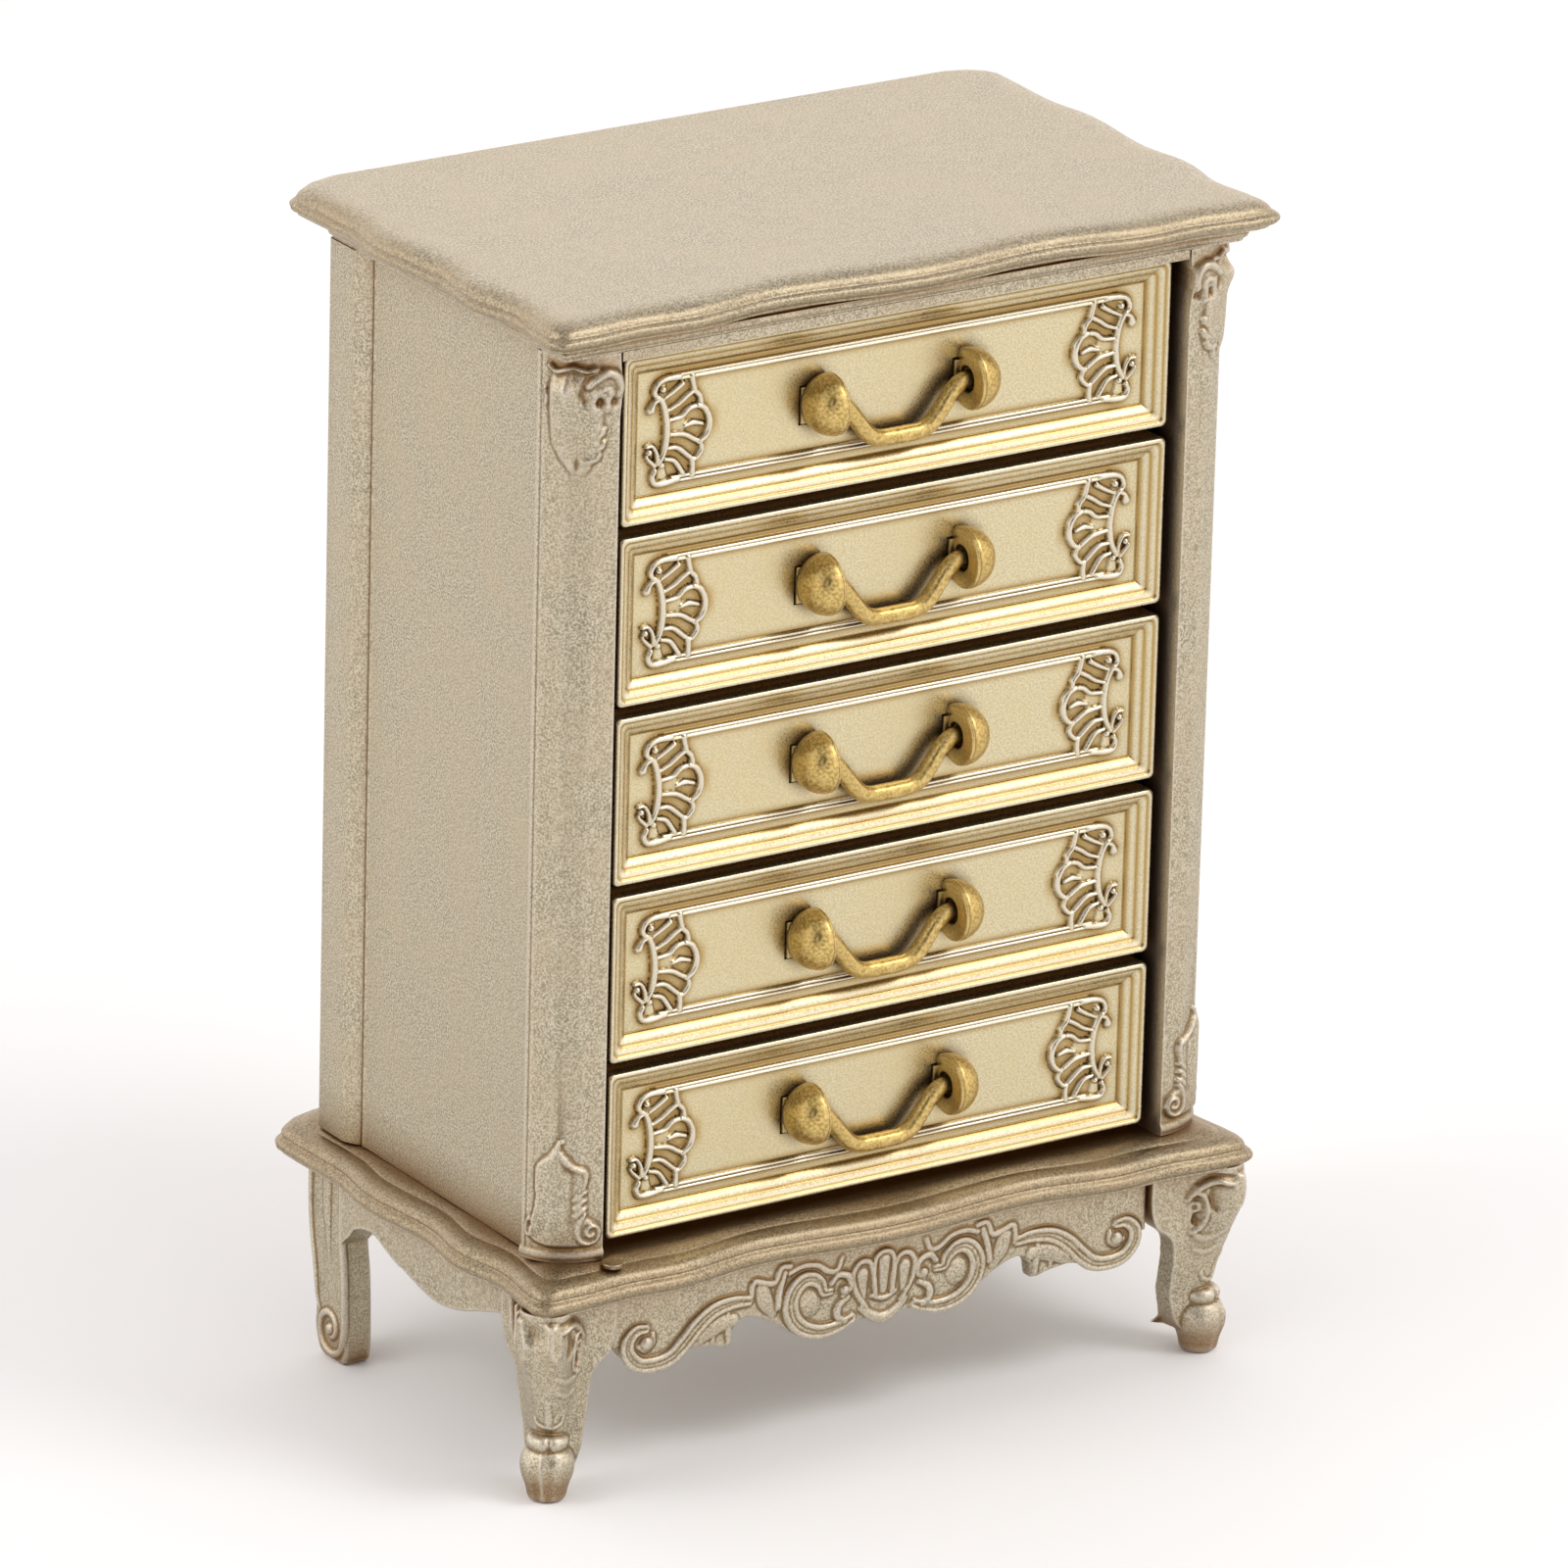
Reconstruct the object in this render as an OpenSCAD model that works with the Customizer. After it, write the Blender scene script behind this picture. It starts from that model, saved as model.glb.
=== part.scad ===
// Miniature chest of five drawers: carcass, carved legs, sliding drawers and swinging bail handles.
// Millimetres. The origin is on the floor, under the middle of the chest. The drawers face -Y.

/* [Carcass] */
// Width across the two side panels
case_w = 72.4; // [70:0.4:80]
// Depth from the front of the posts to the back of the side panels
case_d = 40.1; // [38:0.1:46]
// Thickness of the recessed part of a side panel
side_t = 2; // [1.6:0.1:2.4]
// Height by which the stile stands out from the side panel
side_recess = 1; // [0.6:0.1:1.2]
// Width of the stile at the back of each side panel
stile_w = 4.4; // [3:0.1:6]
// Thickness of the back panel
back_t = 2; // [1:0.1:2.4]
// Width of a front post
post_w = 6.05; // [5.5:0.05:7]
// Depth of a front post
post_d = 4.3; // [4:0.1:5]
// Width of the slanted face that cuts the outer corner of a post
post_cant = 3; // [2.5:0.1:3.5]

/* [Boards] */
// Thickness of the top board
top_t = 2.6; // [2.2:0.1:3.5]
// Thickness of the frieze board under the top board
frieze_t = 1.45; // [1:0.05:2]
// Thickness of the base board
base_t = 3.5; // [3:0.1:4.5]
// Largest overhang of the top board in front of the posts
top_overhang = 2.7; // [2.2:0.1:3.5]
// Largest overhang of the base board in front of the posts
base_overhang = 3.7; // [3:0.1:4.5]

/* [Drawers] */
// Height of a drawer front
drawer_h = 15.95; // [14:0.05:18]
// Gap round a drawer front, above and below
drawer_gap = 1.05; // [0.9:0.05:1.5]
// Gap between a drawer front and each post
side_gap = 1; // [0.6:0.1:1.5]
// Thickness of a drawer front at its rim
front_t = 2.8; // [2.4:0.1:3.4]
// Width of the stepped bevel round the sunk panel
bevel_w = 2.3; // [1.8:0.1:2.8]
// Depth of the sunk panel behind the rim
bevel_d = 1.3; // [0.9:0.1:1.5]
// Depth of the drawer box behind its front
tray_d = 33; // [28:0.5:34]
// Height of the drawer box
tray_h = 13; // [9:0.5:14]
// Thickness of the drawer box's walls and bottom
tray_t = 1.1; // [0.8:0.1:1.6]
// Clearance under each drawer
slide_clearance = 0.05; // [0.02:0.01:0.1]

/* [Handles] */
// Radius of a half-ball knob
knob_r = 2.9; // [2.5:0.1:3]
// Distance of each knob's centre from the middle of the drawer
knob_x = 7.25; // [7:0.25:12]
// Height of the handle's pivot above the middle of the drawer
pivot_up = 0.2; // [0:0.05:0.5]
// Distance of the pivot in front of the sunk panel
pivot_out = 1.45; // [1.4:0.05:1.6]
// Radius of the bail's rod
rod_r = 0.8; // [0.7:0.05:0.8]
// Drop of the bail below its pivot
bail_drop = 4.1; // [3.8:0.1:4.2]
// Slope of the bail's two arms
bail_slope = 52; // [50:1:65]

/* [Legs] */
// Height of the legs
leg_h = 18.8; // [16:0.2:24]
// Radius of the ball above each front foot
ball_r = 2.45; // [2.2:0.05:2.6]
// Thickness of the back legs and the side aprons
leg_t = 3.25; // [2.5:0.05:4]

/* [Hidden] */
DRAWERS = [1, 2, 3, 4, 5];

half_w = case_w / 2;
// Front plane of the posts, which puts the base board's edges at equal distances from the origin
case_front = -20.9;
case_back = case_front + case_d;
panel_x = half_w - side_recess;
inner_x = panel_x - side_t;
post_in = half_w - post_w;
post_back = case_front + post_d;
base_top = leg_h + base_t;
drawer_w = 2 * (post_in - side_gap);
pitch = drawer_h + drawer_gap;
case_top = base_top + len(DRAWERS) * pitch + drawer_gap;
top_z = case_top + frieze_t;
rim_y = case_front + 1.2;
panel_y = rim_y + bevel_d;
front_back = rim_y + front_t;
pivot_y = panel_y - pivot_out;
knob_lip = 0.25;
knob_flat = knob_x - knob_lip;
pin_r = rod_r - 0.1;
pin_len = 1.2;
bore_clearance = 0.05;
bore_depth = 1.8;
tenon = [3.2, 3.4];
tenon_x = knob_x + 0.9;
tenon_step = 0.3;
tenon_clearance = 0.15;
leg_x = half_w - 0.6;
leg_y = case_front + 0.15;
leg_face = half_w + 0.3;
apron_end = leg_x - 6.5;
silver = [0.74, 0.69, 0.58];
champagne = [0.83, 0.77, 0.58];
brass = [0.67, 0.53, 0.24];
ROUND = 64;

function drawer_bottom(k) = base_top + drawer_gap + (len(DRAWERS) - k) * pitch;
function drawer_mid(k) = drawer_bottom(k) + drawer_h / 2;

// A smooth wave through a list of [position, height] crests and dips, in order of position
function wave(stations, t) = let (
    last = len(stations) - 1,
    i = max([0, for (j = [0 : last - 1]) if (t >= stations[j][0]) j]),
    a = stations[i],
    b = stations[min(i + 1, last)],
    s = b[0] > a[0] ? min(1, max(0, (t - a[0]) / (b[0] - a[0]))) : 0
) a[1] + (b[1] - a[1]) * (1 - cos(180 * s)) / 2;

// Serpentine outline of a board: crests and dips are overhangs past the case, by distance
// from the middle along the front and by distance from the front along the sides
CORNER_R = 1.6;
function side_wave(crest) = [[0, crest - 0.3], [6.5, crest - 1], [13, crest], [19, crest - 0.8],
    [29, crest], [35, crest - 0.8], [44, crest - 0.5]];
function front_wave(crest) = [[0, crest - 0.2], [14.5, crest - 1.4], [24.5, crest - 0.1],
    [29.5, crest - 0.4], [35, crest]];
function board_half(crest, side_crest, back_crest) = let (
    front_end = half_w + side_crest - 0.3 - CORNER_R,
    front_y = case_front - crest,
    back_y = case_back + back_crest,
    corner = [front_end, front_y + CORNER_R]
) concat(
    [for (i = [0 : 36]) let (x = front_end * i / 36)
        [x, case_front - wave(front_wave(crest), x)]],
    [for (a = [-75 : 15 : -15]) corner + CORNER_R * [cos(a), sin(a)]],
    [for (i = [0 : 26]) let (s = (back_y - 2.6 - front_y - CORNER_R) * i / 26)
        [half_w + wave(side_wave(side_crest), s), front_y + CORNER_R + s]],
    [[half_w + side_crest - 1, back_y - 1.5], [half_w + side_crest - 2.2, back_y - 0.6],
     [half_w + side_crest - 4.2, back_y]]
);
function board_outline(crest, side_crest, back_crest) = let (
    half = board_half(crest, side_crest, back_crest),
    n = len(half)
) concat(half, [for (i = [n - 1 : -1 : 1]) [-half[i][0], half[i][1]]]);

// Solid skin over a stack of closed rings, each with the same number of points
module loft(rings) {
    n = len(rings[0]);
    last = len(rings) - 1;
    walls = [for (j = [0 : last - 1]) for (i = [0 : n - 1]) let (k = (i + 1) % n)
        each [[j * n + i, j * n + n + i, j * n + n + k], [j * n + i, j * n + n + k, j * n + k]]];
    caps = [[for (i = [0 : n - 1]) i], [for (i = [n - 1 : -1 : 0]) last * n + i]];
    polyhedron([for (ring = rings) each ring], concat(caps, walls), convexity = 8);
}

// Board with a moulded edge: steps are [height, inset] pairs from the bottom to the top. The back
// edge is cut almost square, with this share of the inset
BACK_SHARE = 0.3;
module moulded_board(outline, steps) {
    reach_x = max([for (p = outline) p[0]]);
    reach_y = max([for (p = outline) abs(p[1])]);
    loft([for (s = steps) [for (p = outline)
        [p[0] * (1 - s[1] / reach_x), p[1] * (1 - s[1] * (p[1] > 0 ? BACK_SHARE : 1) / reach_y), s[0]]]]);
}

module box(low, high) {
    translate(low) cube(high - low);
}

// A flat shape drawn in X and Z, standing from y_front back to y_back
module upright(y_front, y_back) {
    translate([0, y_back, 0]) rotate([90, 0, 0]) linear_extrude(y_back - y_front) children();
}

// A flat shape drawn in Y and Z, standing from x_low to x_high
module sideways(x_low, x_high) {
    translate([x_low, 0, 0]) rotate([90, 0, 90]) linear_extrude(x_high - x_low) children();
}

// A solid and its mirror image on the other side of the chest
module both_sides() {
    children();
    mirror([1, 0, 0]) children();
}

// The same in a flat drawing
module both_halves() {
    children();
    mirror([1, 0]) children();
}

// ---- Boards ----

module top_board() {
    color(silver) translate([0, 0, top_z])
        moulded_board(board_outline(top_overhang, 2.9, 5.4),
            [[0, 0.75], [0.35, 0.2], [0.8, 0], [1.2, 0.15], [1.7, 0.8], [2.2, 1.05], [top_t, 1.5]]);
}

module frieze_board() {
    color(silver) box([-half_w - 0.3, case_front - 0.4, case_top], [half_w + 0.3, case_back + 0.2, top_z]);
}

module base_board() {
    color(silver) translate([0, 0, leg_h])
        moulded_board(board_outline(base_overhang, 3.2, 5.4),
            [[0, 1], [0.4, 0.25], [1, 0], [1.5, 0.2], [2.1, 1], [2.7, 1.5], [3.2, 2], [base_t, 2.3]]);
}

// A shelf that carries a drawer, with a low rib on each side that keeps the drawer straight
module drawer_guides(low, high) {
    rib = 1.5;
    rib_in = drawer_w / 2 + 0.25;
    box([-inner_x, post_back, low], [inner_x, case_back - back_t, high]);
    both_sides() box([rib_in, post_back, low], [rib_in + 0.8, case_back - back_t, high + rib]);
}

module divider(k) {
    color(silver) drawer_guides(drawer_bottom(k) - drawer_gap + slide_clearance,
        drawer_bottom(k) - slide_clearance);
}

// Bottom of the case, which carries the lowest drawer
module bottom_board() {
    color(silver) drawer_guides(base_top, base_top + drawer_gap - slide_clearance);
}

// ---- Sides, back and posts ----

module side_panel() {
    bevel = 1.9;
    stile_front = case_back - stile_w;
    color(silver) translate([0, 0, base_top]) linear_extrude(case_top - base_top) polygon([
        [inner_x, post_back], [panel_x, post_back], [panel_x, stile_front - bevel],
        [half_w, stile_front], [half_w, case_back], [inner_x, case_back]
    ]);
}

module back_panel() {
    color(silver) box([-inner_x, case_back - back_t, base_top], [inner_x, case_back, case_top]);
}

// Carved leaf with two curls, on the slanted face of a post
module leaf_block(low, height, swell) {
    translate([half_w - post_cant / 2, case_front + post_cant / 2, low]) rotate([0, 0, -45]) {
        linear_extrude(height) polygon([[-0.4, -2.4], [swell, -1.2], [swell, 1.2], [-0.4, 2.4]]);
        for (side = [-1, 1]) translate([swell * 0.5, side * 1.9, height - 1.6])
            rotate([0, 90, 0]) cylinder(h = 0.7, r = 1.2, center = true, $fn = ROUND);
    }
}

// Length of post, standing out from its plain section by swell
module post_length(low, high, swell) {
    translate([0, 0, low]) linear_extrude(high - low) polygon([
        [post_in, post_back], [post_in, case_front - swell], [half_w - post_cant, case_front - swell],
        [half_w + swell, case_front + post_cant], [half_w + swell, post_back]
    ]);
}

module front_post() {
    leaf_h = 11;
    plinth_h = 0.9;
    color(silver) {
        post_length(base_top, case_top, 0);
        post_length(base_top, base_top + plinth_h, 0.3);
        leaf_block(case_top - leaf_h, leaf_h - 0.6, 0.8);
        leaf_block(base_top + plinth_h + 0.3, leaf_h - 2, 0.6);
    }
}

// ---- Legs and aprons ----

// A front leg is an L in plan. Seen from the front or the side, its outer edge follows the
// cabriole curve and its inner edge widens under the base board. Points are [out, up]
function leg_outer() = [[0.35, 3], [0.35, 6.2], [0.75, 8], [1.2, 10], [1.8, 11.8], [2.3, 13.2], [2.75, 15.5],
    [2.6, leg_h]];
function leg_inner() = [[-6.4, leg_h], [-6.4, 13.2], [-4.9, 11.8], [-4.3, 10], [-4.1, 8], [-4, 6.2],
    [-3.6, 3]];

module front_leg() {
    profile = concat(leg_outer(), leg_inner());
    reach = 9;
    flange_t = 2.3;
    flange_in = 0.3 - flange_t;
    flange_out = 1.15;
    knee = 1.8;
    color(silver) translate([leg_x, leg_y, 0]) {
        difference() {
            intersection() {
                upright(-reach, reach) polygon(profile);
                sideways(-reach, reach) polygon([for (p = profile) [-p[0], p[1]]]);
            }
            box([-reach, -flange_in, 0], [flange_in, reach, leg_h + 1]);
            box([-reach, -reach, 0], [-knee, -flange_out, leg_h + 1]);
            box([flange_out, knee, 0], [reach, reach, leg_h + 1]);
        }
        translate([0, 0, 3.1]) sphere(ball_r, $fn = ROUND);
        cylinder(h = 2, r = 1.85, $fn = ROUND);
    }
}

module back_leg() {
    heel = case_back;
    color(silver) sideways(leg_face - leg_t, leg_face) polygon(concat(
        [[heel - 0.9, 0], [heel - 5.1, 0], [heel - 5.4, 0.6], [heel - 5.3, 5.6], [heel - 5.1, 9.4],
         [heel - 4.7, 12.2], [heel - 4.7, leg_h], [heel + 1.3, leg_h]],
        [for (s = [0 : 6]) [heel + 1.3 - 1.3 * s / 6 + 0.25 * sin(180 * s / 6), 15.5 - 1.9 * s]],
        [[heel + 0.3, 2.4]]
    ));
}

// Lower edge of a side apron: a belly between two rises
function apron_edge(y) = leg_h - 4.95 - 1.35 * cos(360 * (y + 2.5) / 21.5);

module side_apron() {
    front = leg_y + 6.4;
    arch = case_back - 4.7;
    color(silver) sideways(leg_face - leg_t, leg_face) polygon(concat(
        [[arch, leg_h], [front, leg_h]],
        [for (i = [0 : 20]) let (y = front + (arch - 6 - front) * i / 20) [y, apron_edge(y)]],
        [for (a = [15 : 15 : 90]) [arch - 6 + 6 * sin(a), apron_edge(arch - 6) - 3 * (1 - cos(a))]]
    ));
}

module back_apron() {
    x = leg_face - leg_t;
    color(silver) upright(case_back - 2, case_back - 0.2) polygon(concat(
        [[x, leg_h], [-x, leg_h]],
        [for (i = [0 : 24]) let (t = -x + 2 * x * i / 24) [t, leg_h - 4.6 + 1.2 * cos(360 * t / (2 * x))]]
    ));
}

module ring(radius, width) {
    difference() {
        circle(radius, $fn = ROUND);
        circle(radius - width, $fn = ROUND);
    }
}

// Carved apron between the front legs: scrolls, lobes and a fan in the middle
module front_apron() {
    back = case_front + 1.6;
    face = case_front - 0.3;
    x = apron_end - 0.05;
    color(silver) {
        upright(face, back) union() {
            polygon([[-x, leg_h], [-x, 13.4], [-16, 12.6], [-14, 13.4], [-10, 12], [10, 12], [14, 13.4],
                [16, 12.6], [x, 13.4], [x, leg_h]]);
            both_halves() {
                translate([25.3, 12.7]) circle(2.2, $fn = ROUND);
                polygon([[14.8, 14], [15.4, 11.9], [16.7, 10.9], [18.6, 11.2], [21.5, 11.4], [24.5, 10.7],
                    [25, 14]]);
                translate([6.9, 14.2]) circle(4.5, $fn = ROUND);
            }
            translate([0, 12.4]) circle(2.7, $fn = ROUND);
        }
        upright(face - 0.7, face + 0.2) union() {
            both_halves() {
                translate([6.9, 14.3]) ring(4.1, 1.1);
                translate([25.3, 12.7]) ring(2, 0.8);
                translate([13.4, 15.6]) square([3, 1.6], center = true);
                polygon([[15, 13.6], [18.5, 14.8], [22.5, 12.6], [24.4, 11], [22.6, 11], [18.4, 13.6],
                    [15, 12.7]]);
            }
            for (a = [-28, 0, 28]) translate([0, 11.8]) rotate(a) translate([0, 3.1])
                scale([0.42, 1]) circle(2.6, $fn = ROUND);
        }
    }
}

// ---- Drawers ----

// Shell ornament in the sunk panel, drawn flat: a curved spine, fanned ribs and two curls
module shell() {
    spine_r = 5.2;
    union() {
        intersection() {
            translate([-spine_r - 1.1, 0]) ring(spine_r, 0.8);
            square([6, 9], center = true);
        }
        for (i = [-3 : 3]) rotate(i * 19) translate([1.4, 0])
            square([4.2 - 0.25 * abs(i), 0.55], center = true);
        for (s = [-1, 1]) translate([-2.4, s * 4]) circle(0.75, $fn = ROUND);
        intersection() {
            translate([-1.6, 0]) scale([1, 0.95]) ring(5.2, 0.6);
            translate([2.6, 0]) square([3, 9], center = true);
        }
    }
}

module drawer_front(k) {
    sunk = [drawer_w - 2 * bevel_w, drawer_h - 2 * bevel_w];
    relief = 0.45;
    rail = 0.6;
    steps = 4;
    shell_x = sunk[0] / 2 - 4.2;
    color(champagne) translate([0, 0, drawer_mid(k)]) {
        difference() {
            upright(rim_y, front_back) square([drawer_w, drawer_h], center = true);
            for (i = [0 : steps - 1]) let (s = i / steps, w = bevel_w * (1 - s))
                upright(rim_y - 1, rim_y + bevel_d * (i + 1) / steps)
                    square([sunk[0] + 2 * w - 0.8 + 0.8 * s, sunk[1] + 2 * w - 0.8 + 0.8 * s], center = true);
            for (side = [-1, 1]) translate([side * tenon_x, 0, 0])
                upright(panel_y - 1, front_back + 1)
                    square(tenon + 2 * tenon_clearance * [1, 1], center = true);
        }
        upright(panel_y - relief, panel_y + 0.2) union() {
            for (s = [-1, 1]) translate([0, s * (sunk[1] / 2 - 0.9)])
                square([sunk[0] - 7, rail], center = true);
            both_halves() translate([-shell_x, 0]) shell();
        }
    }
}

module drawer_tray(k) {
    x = drawer_w / 2;
    color(champagne) translate([0, front_back, drawer_bottom(k)]) difference() {
        box([-x, 0, 0], [x, tray_d, tray_h]);
        box([tray_t - x, -1, tray_t], [x - tray_t, tray_d - tray_t, tray_h + 1]);
    }
}

// Half-ball knob: its flat face looks at the middle of the drawer and takes the bail's end.
// Its back is cut flat where it sits on the sunk panel, and a rectangular tenon behind it
// passes through the drawer front
module knob(k) {
    color(brass) translate([knob_x, pivot_y, drawer_mid(k) + pivot_up]) difference() {
        union() {
            difference() {
                rotate([0, 90, 0]) rotate_extrude($fn = ROUND) intersection() {
                    circle(knob_r, $fn = ROUND);
                    translate([0, -knob_lip]) square(2 * knob_r);
                }
                box([-knob_r, pivot_out, -knob_r], [2 * knob_r, 2 * knob_r, 2 * knob_r]);
            }
            box([tenon_x - knob_x - tenon[0] / 2, pivot_out - tenon_step, -pivot_up - tenon[1] / 2],
                [tenon_x - knob_x + tenon[0] / 2, front_back - pivot_y, tenon[1] / 2 - pivot_up]);
        }
        rotate([0, 90, 0])
            cylinder(h = 2 * bore_depth, r = pin_r + bore_clearance, center = true, $fn = ROUND);
        rotate([0, 90, 0]) cylinder(h = 1.3, r = rod_r + 0.4, center = true, $fn = ROUND);
    }
}

// Bail handle: a bent rod with a thinner pin on each end, hanging from the two knobs.
// Each station of the bend is [x, z, tilt], from the right end to the left end
module bail(k) {
    bend_out = 1.2;
    bend_in = 2;
    stub = 1;
    sides = 24;
    turns = 7;
    bend_x = knob_flat - 0.45;
    turn_sum = bend_out + bend_in;
    arm = (bail_drop - turn_sum * (1 - cos(bail_slope))) / sin(bail_slope);
    grip_x = bend_x - turn_sum * sin(bail_slope) - arm * cos(bail_slope);
    right = concat(
        [[bend_x + stub, 0, 0]],
        [for (i = [0 : turns]) let (a = bail_slope * i / turns)
            [bend_x - bend_out * sin(a), -bend_out * (1 - cos(a)), a]],
        [for (i = [turns : -1 : 0]) let (a = bail_slope * i / turns)
            [grip_x + bend_in * sin(a), bend_in * (1 - cos(a)) - bail_drop, a]]
    );
    left = [for (i = [len(right) - 1 : -1 : 0]) [-right[i][0], right[i][1], -right[i][2]]];
    color(brass) translate([0, pivot_y, drawer_mid(k) + pivot_up]) {
        loft([for (s = concat(right, left)) [for (j = [0 : sides - 1]) let (b = 360 * j / sides)
            [s[0] - rod_r * cos(b) * sin(s[2]), rod_r * sin(b), s[1] + rod_r * cos(b) * cos(s[2])]]]);
        both_sides() translate([bend_x + stub / 2, 0, 0]) rotate([0, 90, 0])
            cylinder(h = stub / 2 + pin_len, r = pin_r, $fn = ROUND);
    }
}

top_board();
frieze_board();
mirror([1, 0, 0]) side_panel();  // left_side_panel
side_panel();  // right_side_panel
back_panel();
mirror([1, 0, 0]) front_post();  // front_left_post
front_post();  // front_right_post
for (k = [1 : 4]) divider(k);
bottom_board();
base_board();
front_apron();
mirror([1, 0, 0]) side_apron();  // left_apron
side_apron();  // right_apron
back_apron();
mirror([1, 0, 0]) front_leg();  // leg_front_left
front_leg();  // leg_front_right
mirror([1, 0, 0]) back_leg();  // leg_back_left
back_leg();  // leg_back_right
for (k = DRAWERS) drawer_front(k);
for (k = DRAWERS) drawer_tray(k);
for (k = DRAWERS) mirror([1, 0, 0]) knob(k);
for (k = DRAWERS) knob(k);
for (k = DRAWERS) bail(k);
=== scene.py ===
"""The looks of a miniature chest of five drawers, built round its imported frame.

Shapes are worked out in millimetres in the frame's own axes: +Z is up and the drawers face -Y.
Each mesh is turned into metres when it is made.
"""
import math

import bmesh
import bpy
import numpy as np
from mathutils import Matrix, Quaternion, Vector


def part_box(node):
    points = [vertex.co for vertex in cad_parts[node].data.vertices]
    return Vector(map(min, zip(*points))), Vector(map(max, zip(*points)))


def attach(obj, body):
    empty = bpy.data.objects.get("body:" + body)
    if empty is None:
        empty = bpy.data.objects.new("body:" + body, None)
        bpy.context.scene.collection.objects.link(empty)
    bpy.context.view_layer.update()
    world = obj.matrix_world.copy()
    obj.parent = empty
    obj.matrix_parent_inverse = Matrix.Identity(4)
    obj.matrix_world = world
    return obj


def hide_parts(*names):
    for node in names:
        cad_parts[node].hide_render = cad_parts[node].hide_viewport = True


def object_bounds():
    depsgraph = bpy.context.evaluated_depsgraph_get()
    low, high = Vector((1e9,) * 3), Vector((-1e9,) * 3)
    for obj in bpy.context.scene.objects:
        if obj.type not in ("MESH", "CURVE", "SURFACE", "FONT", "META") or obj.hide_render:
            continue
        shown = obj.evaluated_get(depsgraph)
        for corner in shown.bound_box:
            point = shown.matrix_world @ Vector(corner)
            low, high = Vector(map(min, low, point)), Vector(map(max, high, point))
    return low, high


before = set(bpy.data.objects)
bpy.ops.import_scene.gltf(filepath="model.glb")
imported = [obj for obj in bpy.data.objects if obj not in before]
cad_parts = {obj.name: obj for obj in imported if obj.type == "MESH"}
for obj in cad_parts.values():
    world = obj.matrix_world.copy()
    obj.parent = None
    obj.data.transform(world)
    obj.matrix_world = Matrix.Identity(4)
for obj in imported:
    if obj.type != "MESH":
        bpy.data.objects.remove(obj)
CAD_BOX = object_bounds()

MM = 0.001
DRAWERS = range(1, 6)


# ---- Numbers from the frame ----

def box(node):
    """Lowest and highest corner of a CAD node, in millimetres."""
    low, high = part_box(node)
    return np.array(low) / MM, np.array(high) / MM


BASE_TOP = box("base_board")[1][2]
LEG_TOP = box("base_board")[0][2]
CASE_TOP = box("frieze_board")[0][2]
HALF_W = box("right_side_panel")[1][0]
CASE_BACK = box("back_panel")[1][1]
POST_BACK = box("divider_1")[0][1]
TOP = box("top_board")[1][2]
POST_INNER = box("front_right_post")[0][0]
POST_DEPTH = 4.3
CASE_FRONT = POST_BACK - POST_DEPTH


# ---- Curves, grids and closed skins ----

def spline(points, steps=6):
    """Points of a smooth curve that passes through the given points."""
    p = np.asarray(points, float)
    p = np.vstack([2 * p[0] - p[1], p, 2 * p[-1] - p[-2]])
    t = (np.arange(steps) / steps)[:, None]
    parts = []
    for a, b, c, d in zip(p[:-3], p[1:-2], p[2:-1], p[3:]):
        bend = (2 * a - 5 * b + 4 * c - d) * t ** 2 + (3 * b - a - 3 * c + d) * t ** 3
        parts.append(0.5 * (2 * b + (c - a) * t + bend))
    return np.vstack(parts + [p[-2:-1]])


def unit(vectors):
    return vectors / np.linalg.norm(vectors, axis=-1)[..., None]


def lines(*spans):
    """Grid lines over spans of (start, end, spacing) that follow one another."""
    parts = [np.linspace(a, b, max(1, round(abs(b - a) / step)), endpoint=False)
             for a, b, step in spans]
    return np.append(np.concatenate(parts), spans[-1][1])


def bands(low, high):
    """Four-sided faces between closed rows of point numbers."""
    return np.stack([low, np.roll(low, -1, 1), np.roll(high, -1, 1), high], -1).reshape(-1, 4).tolist()


def loft(rings):
    """Closed skin over a stack of closed rings with equal numbers of points."""
    rings = np.asarray(rings, float)
    count, size = rings.shape[:2]
    index = np.arange(count * size).reshape(count, size)
    ends = [index[0][::-1].tolist(), index[-1].tolist()]
    return rings.reshape(-1, 3), bands(index[:-1], index[1:]) + ends


def merge(shells):
    """One list of points and faces from several."""
    points, faces, start = [], [], 0
    for shell_points, shell_faces in shells:
        points.append(np.asarray(shell_points, float))
        faces += [[i + start for i in face] for face in shell_faces]
        start += len(shell_points)
    return np.vstack(points), faces


def mirrored(shells):
    """The same shells on the other side of the chest."""
    return [(np.asarray(points) * (-1, 1, 1), faces) for points, faces in shells]


def taper(widths, share):
    """Half the width at shares of the way along a path, from evenly spread widths."""
    return np.interp(share, np.linspace(0, 1, len(widths)), widths) / 2


def tube(path, widths, normal=(0, -1, 0), flat=1.0, sides=12, steps=5):
    """Closed rod with domed ends along a path. flat scales its thickness along normal."""
    centre = spline(path, steps)
    radius = taper(widths, np.linspace(0, 1, len(centre)))
    along = unit(np.gradient(centre, axis=0))
    across = unit(np.cross(along, normal))
    out = np.cross(across, along)
    dome = (0.25, 0.7, 1.15)
    stations = [(0, -math.cos(a), math.sin(a)) for a in dome]
    stations += [(i, 0, 1) for i in range(len(centre))]
    stations += [(len(centre) - 1, math.cos(a), math.sin(a)) for a in dome[::-1]]
    angle = np.linspace(0, 2 * math.pi, sides, endpoint=False)[:, None]
    return loft([centre[i] + along[i] * shift * radius[i]
                 + radius[i] * size * (np.cos(angle) * across[i] + flat * np.sin(angle) * out[i])
                 for i, shift, size in stations])


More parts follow.
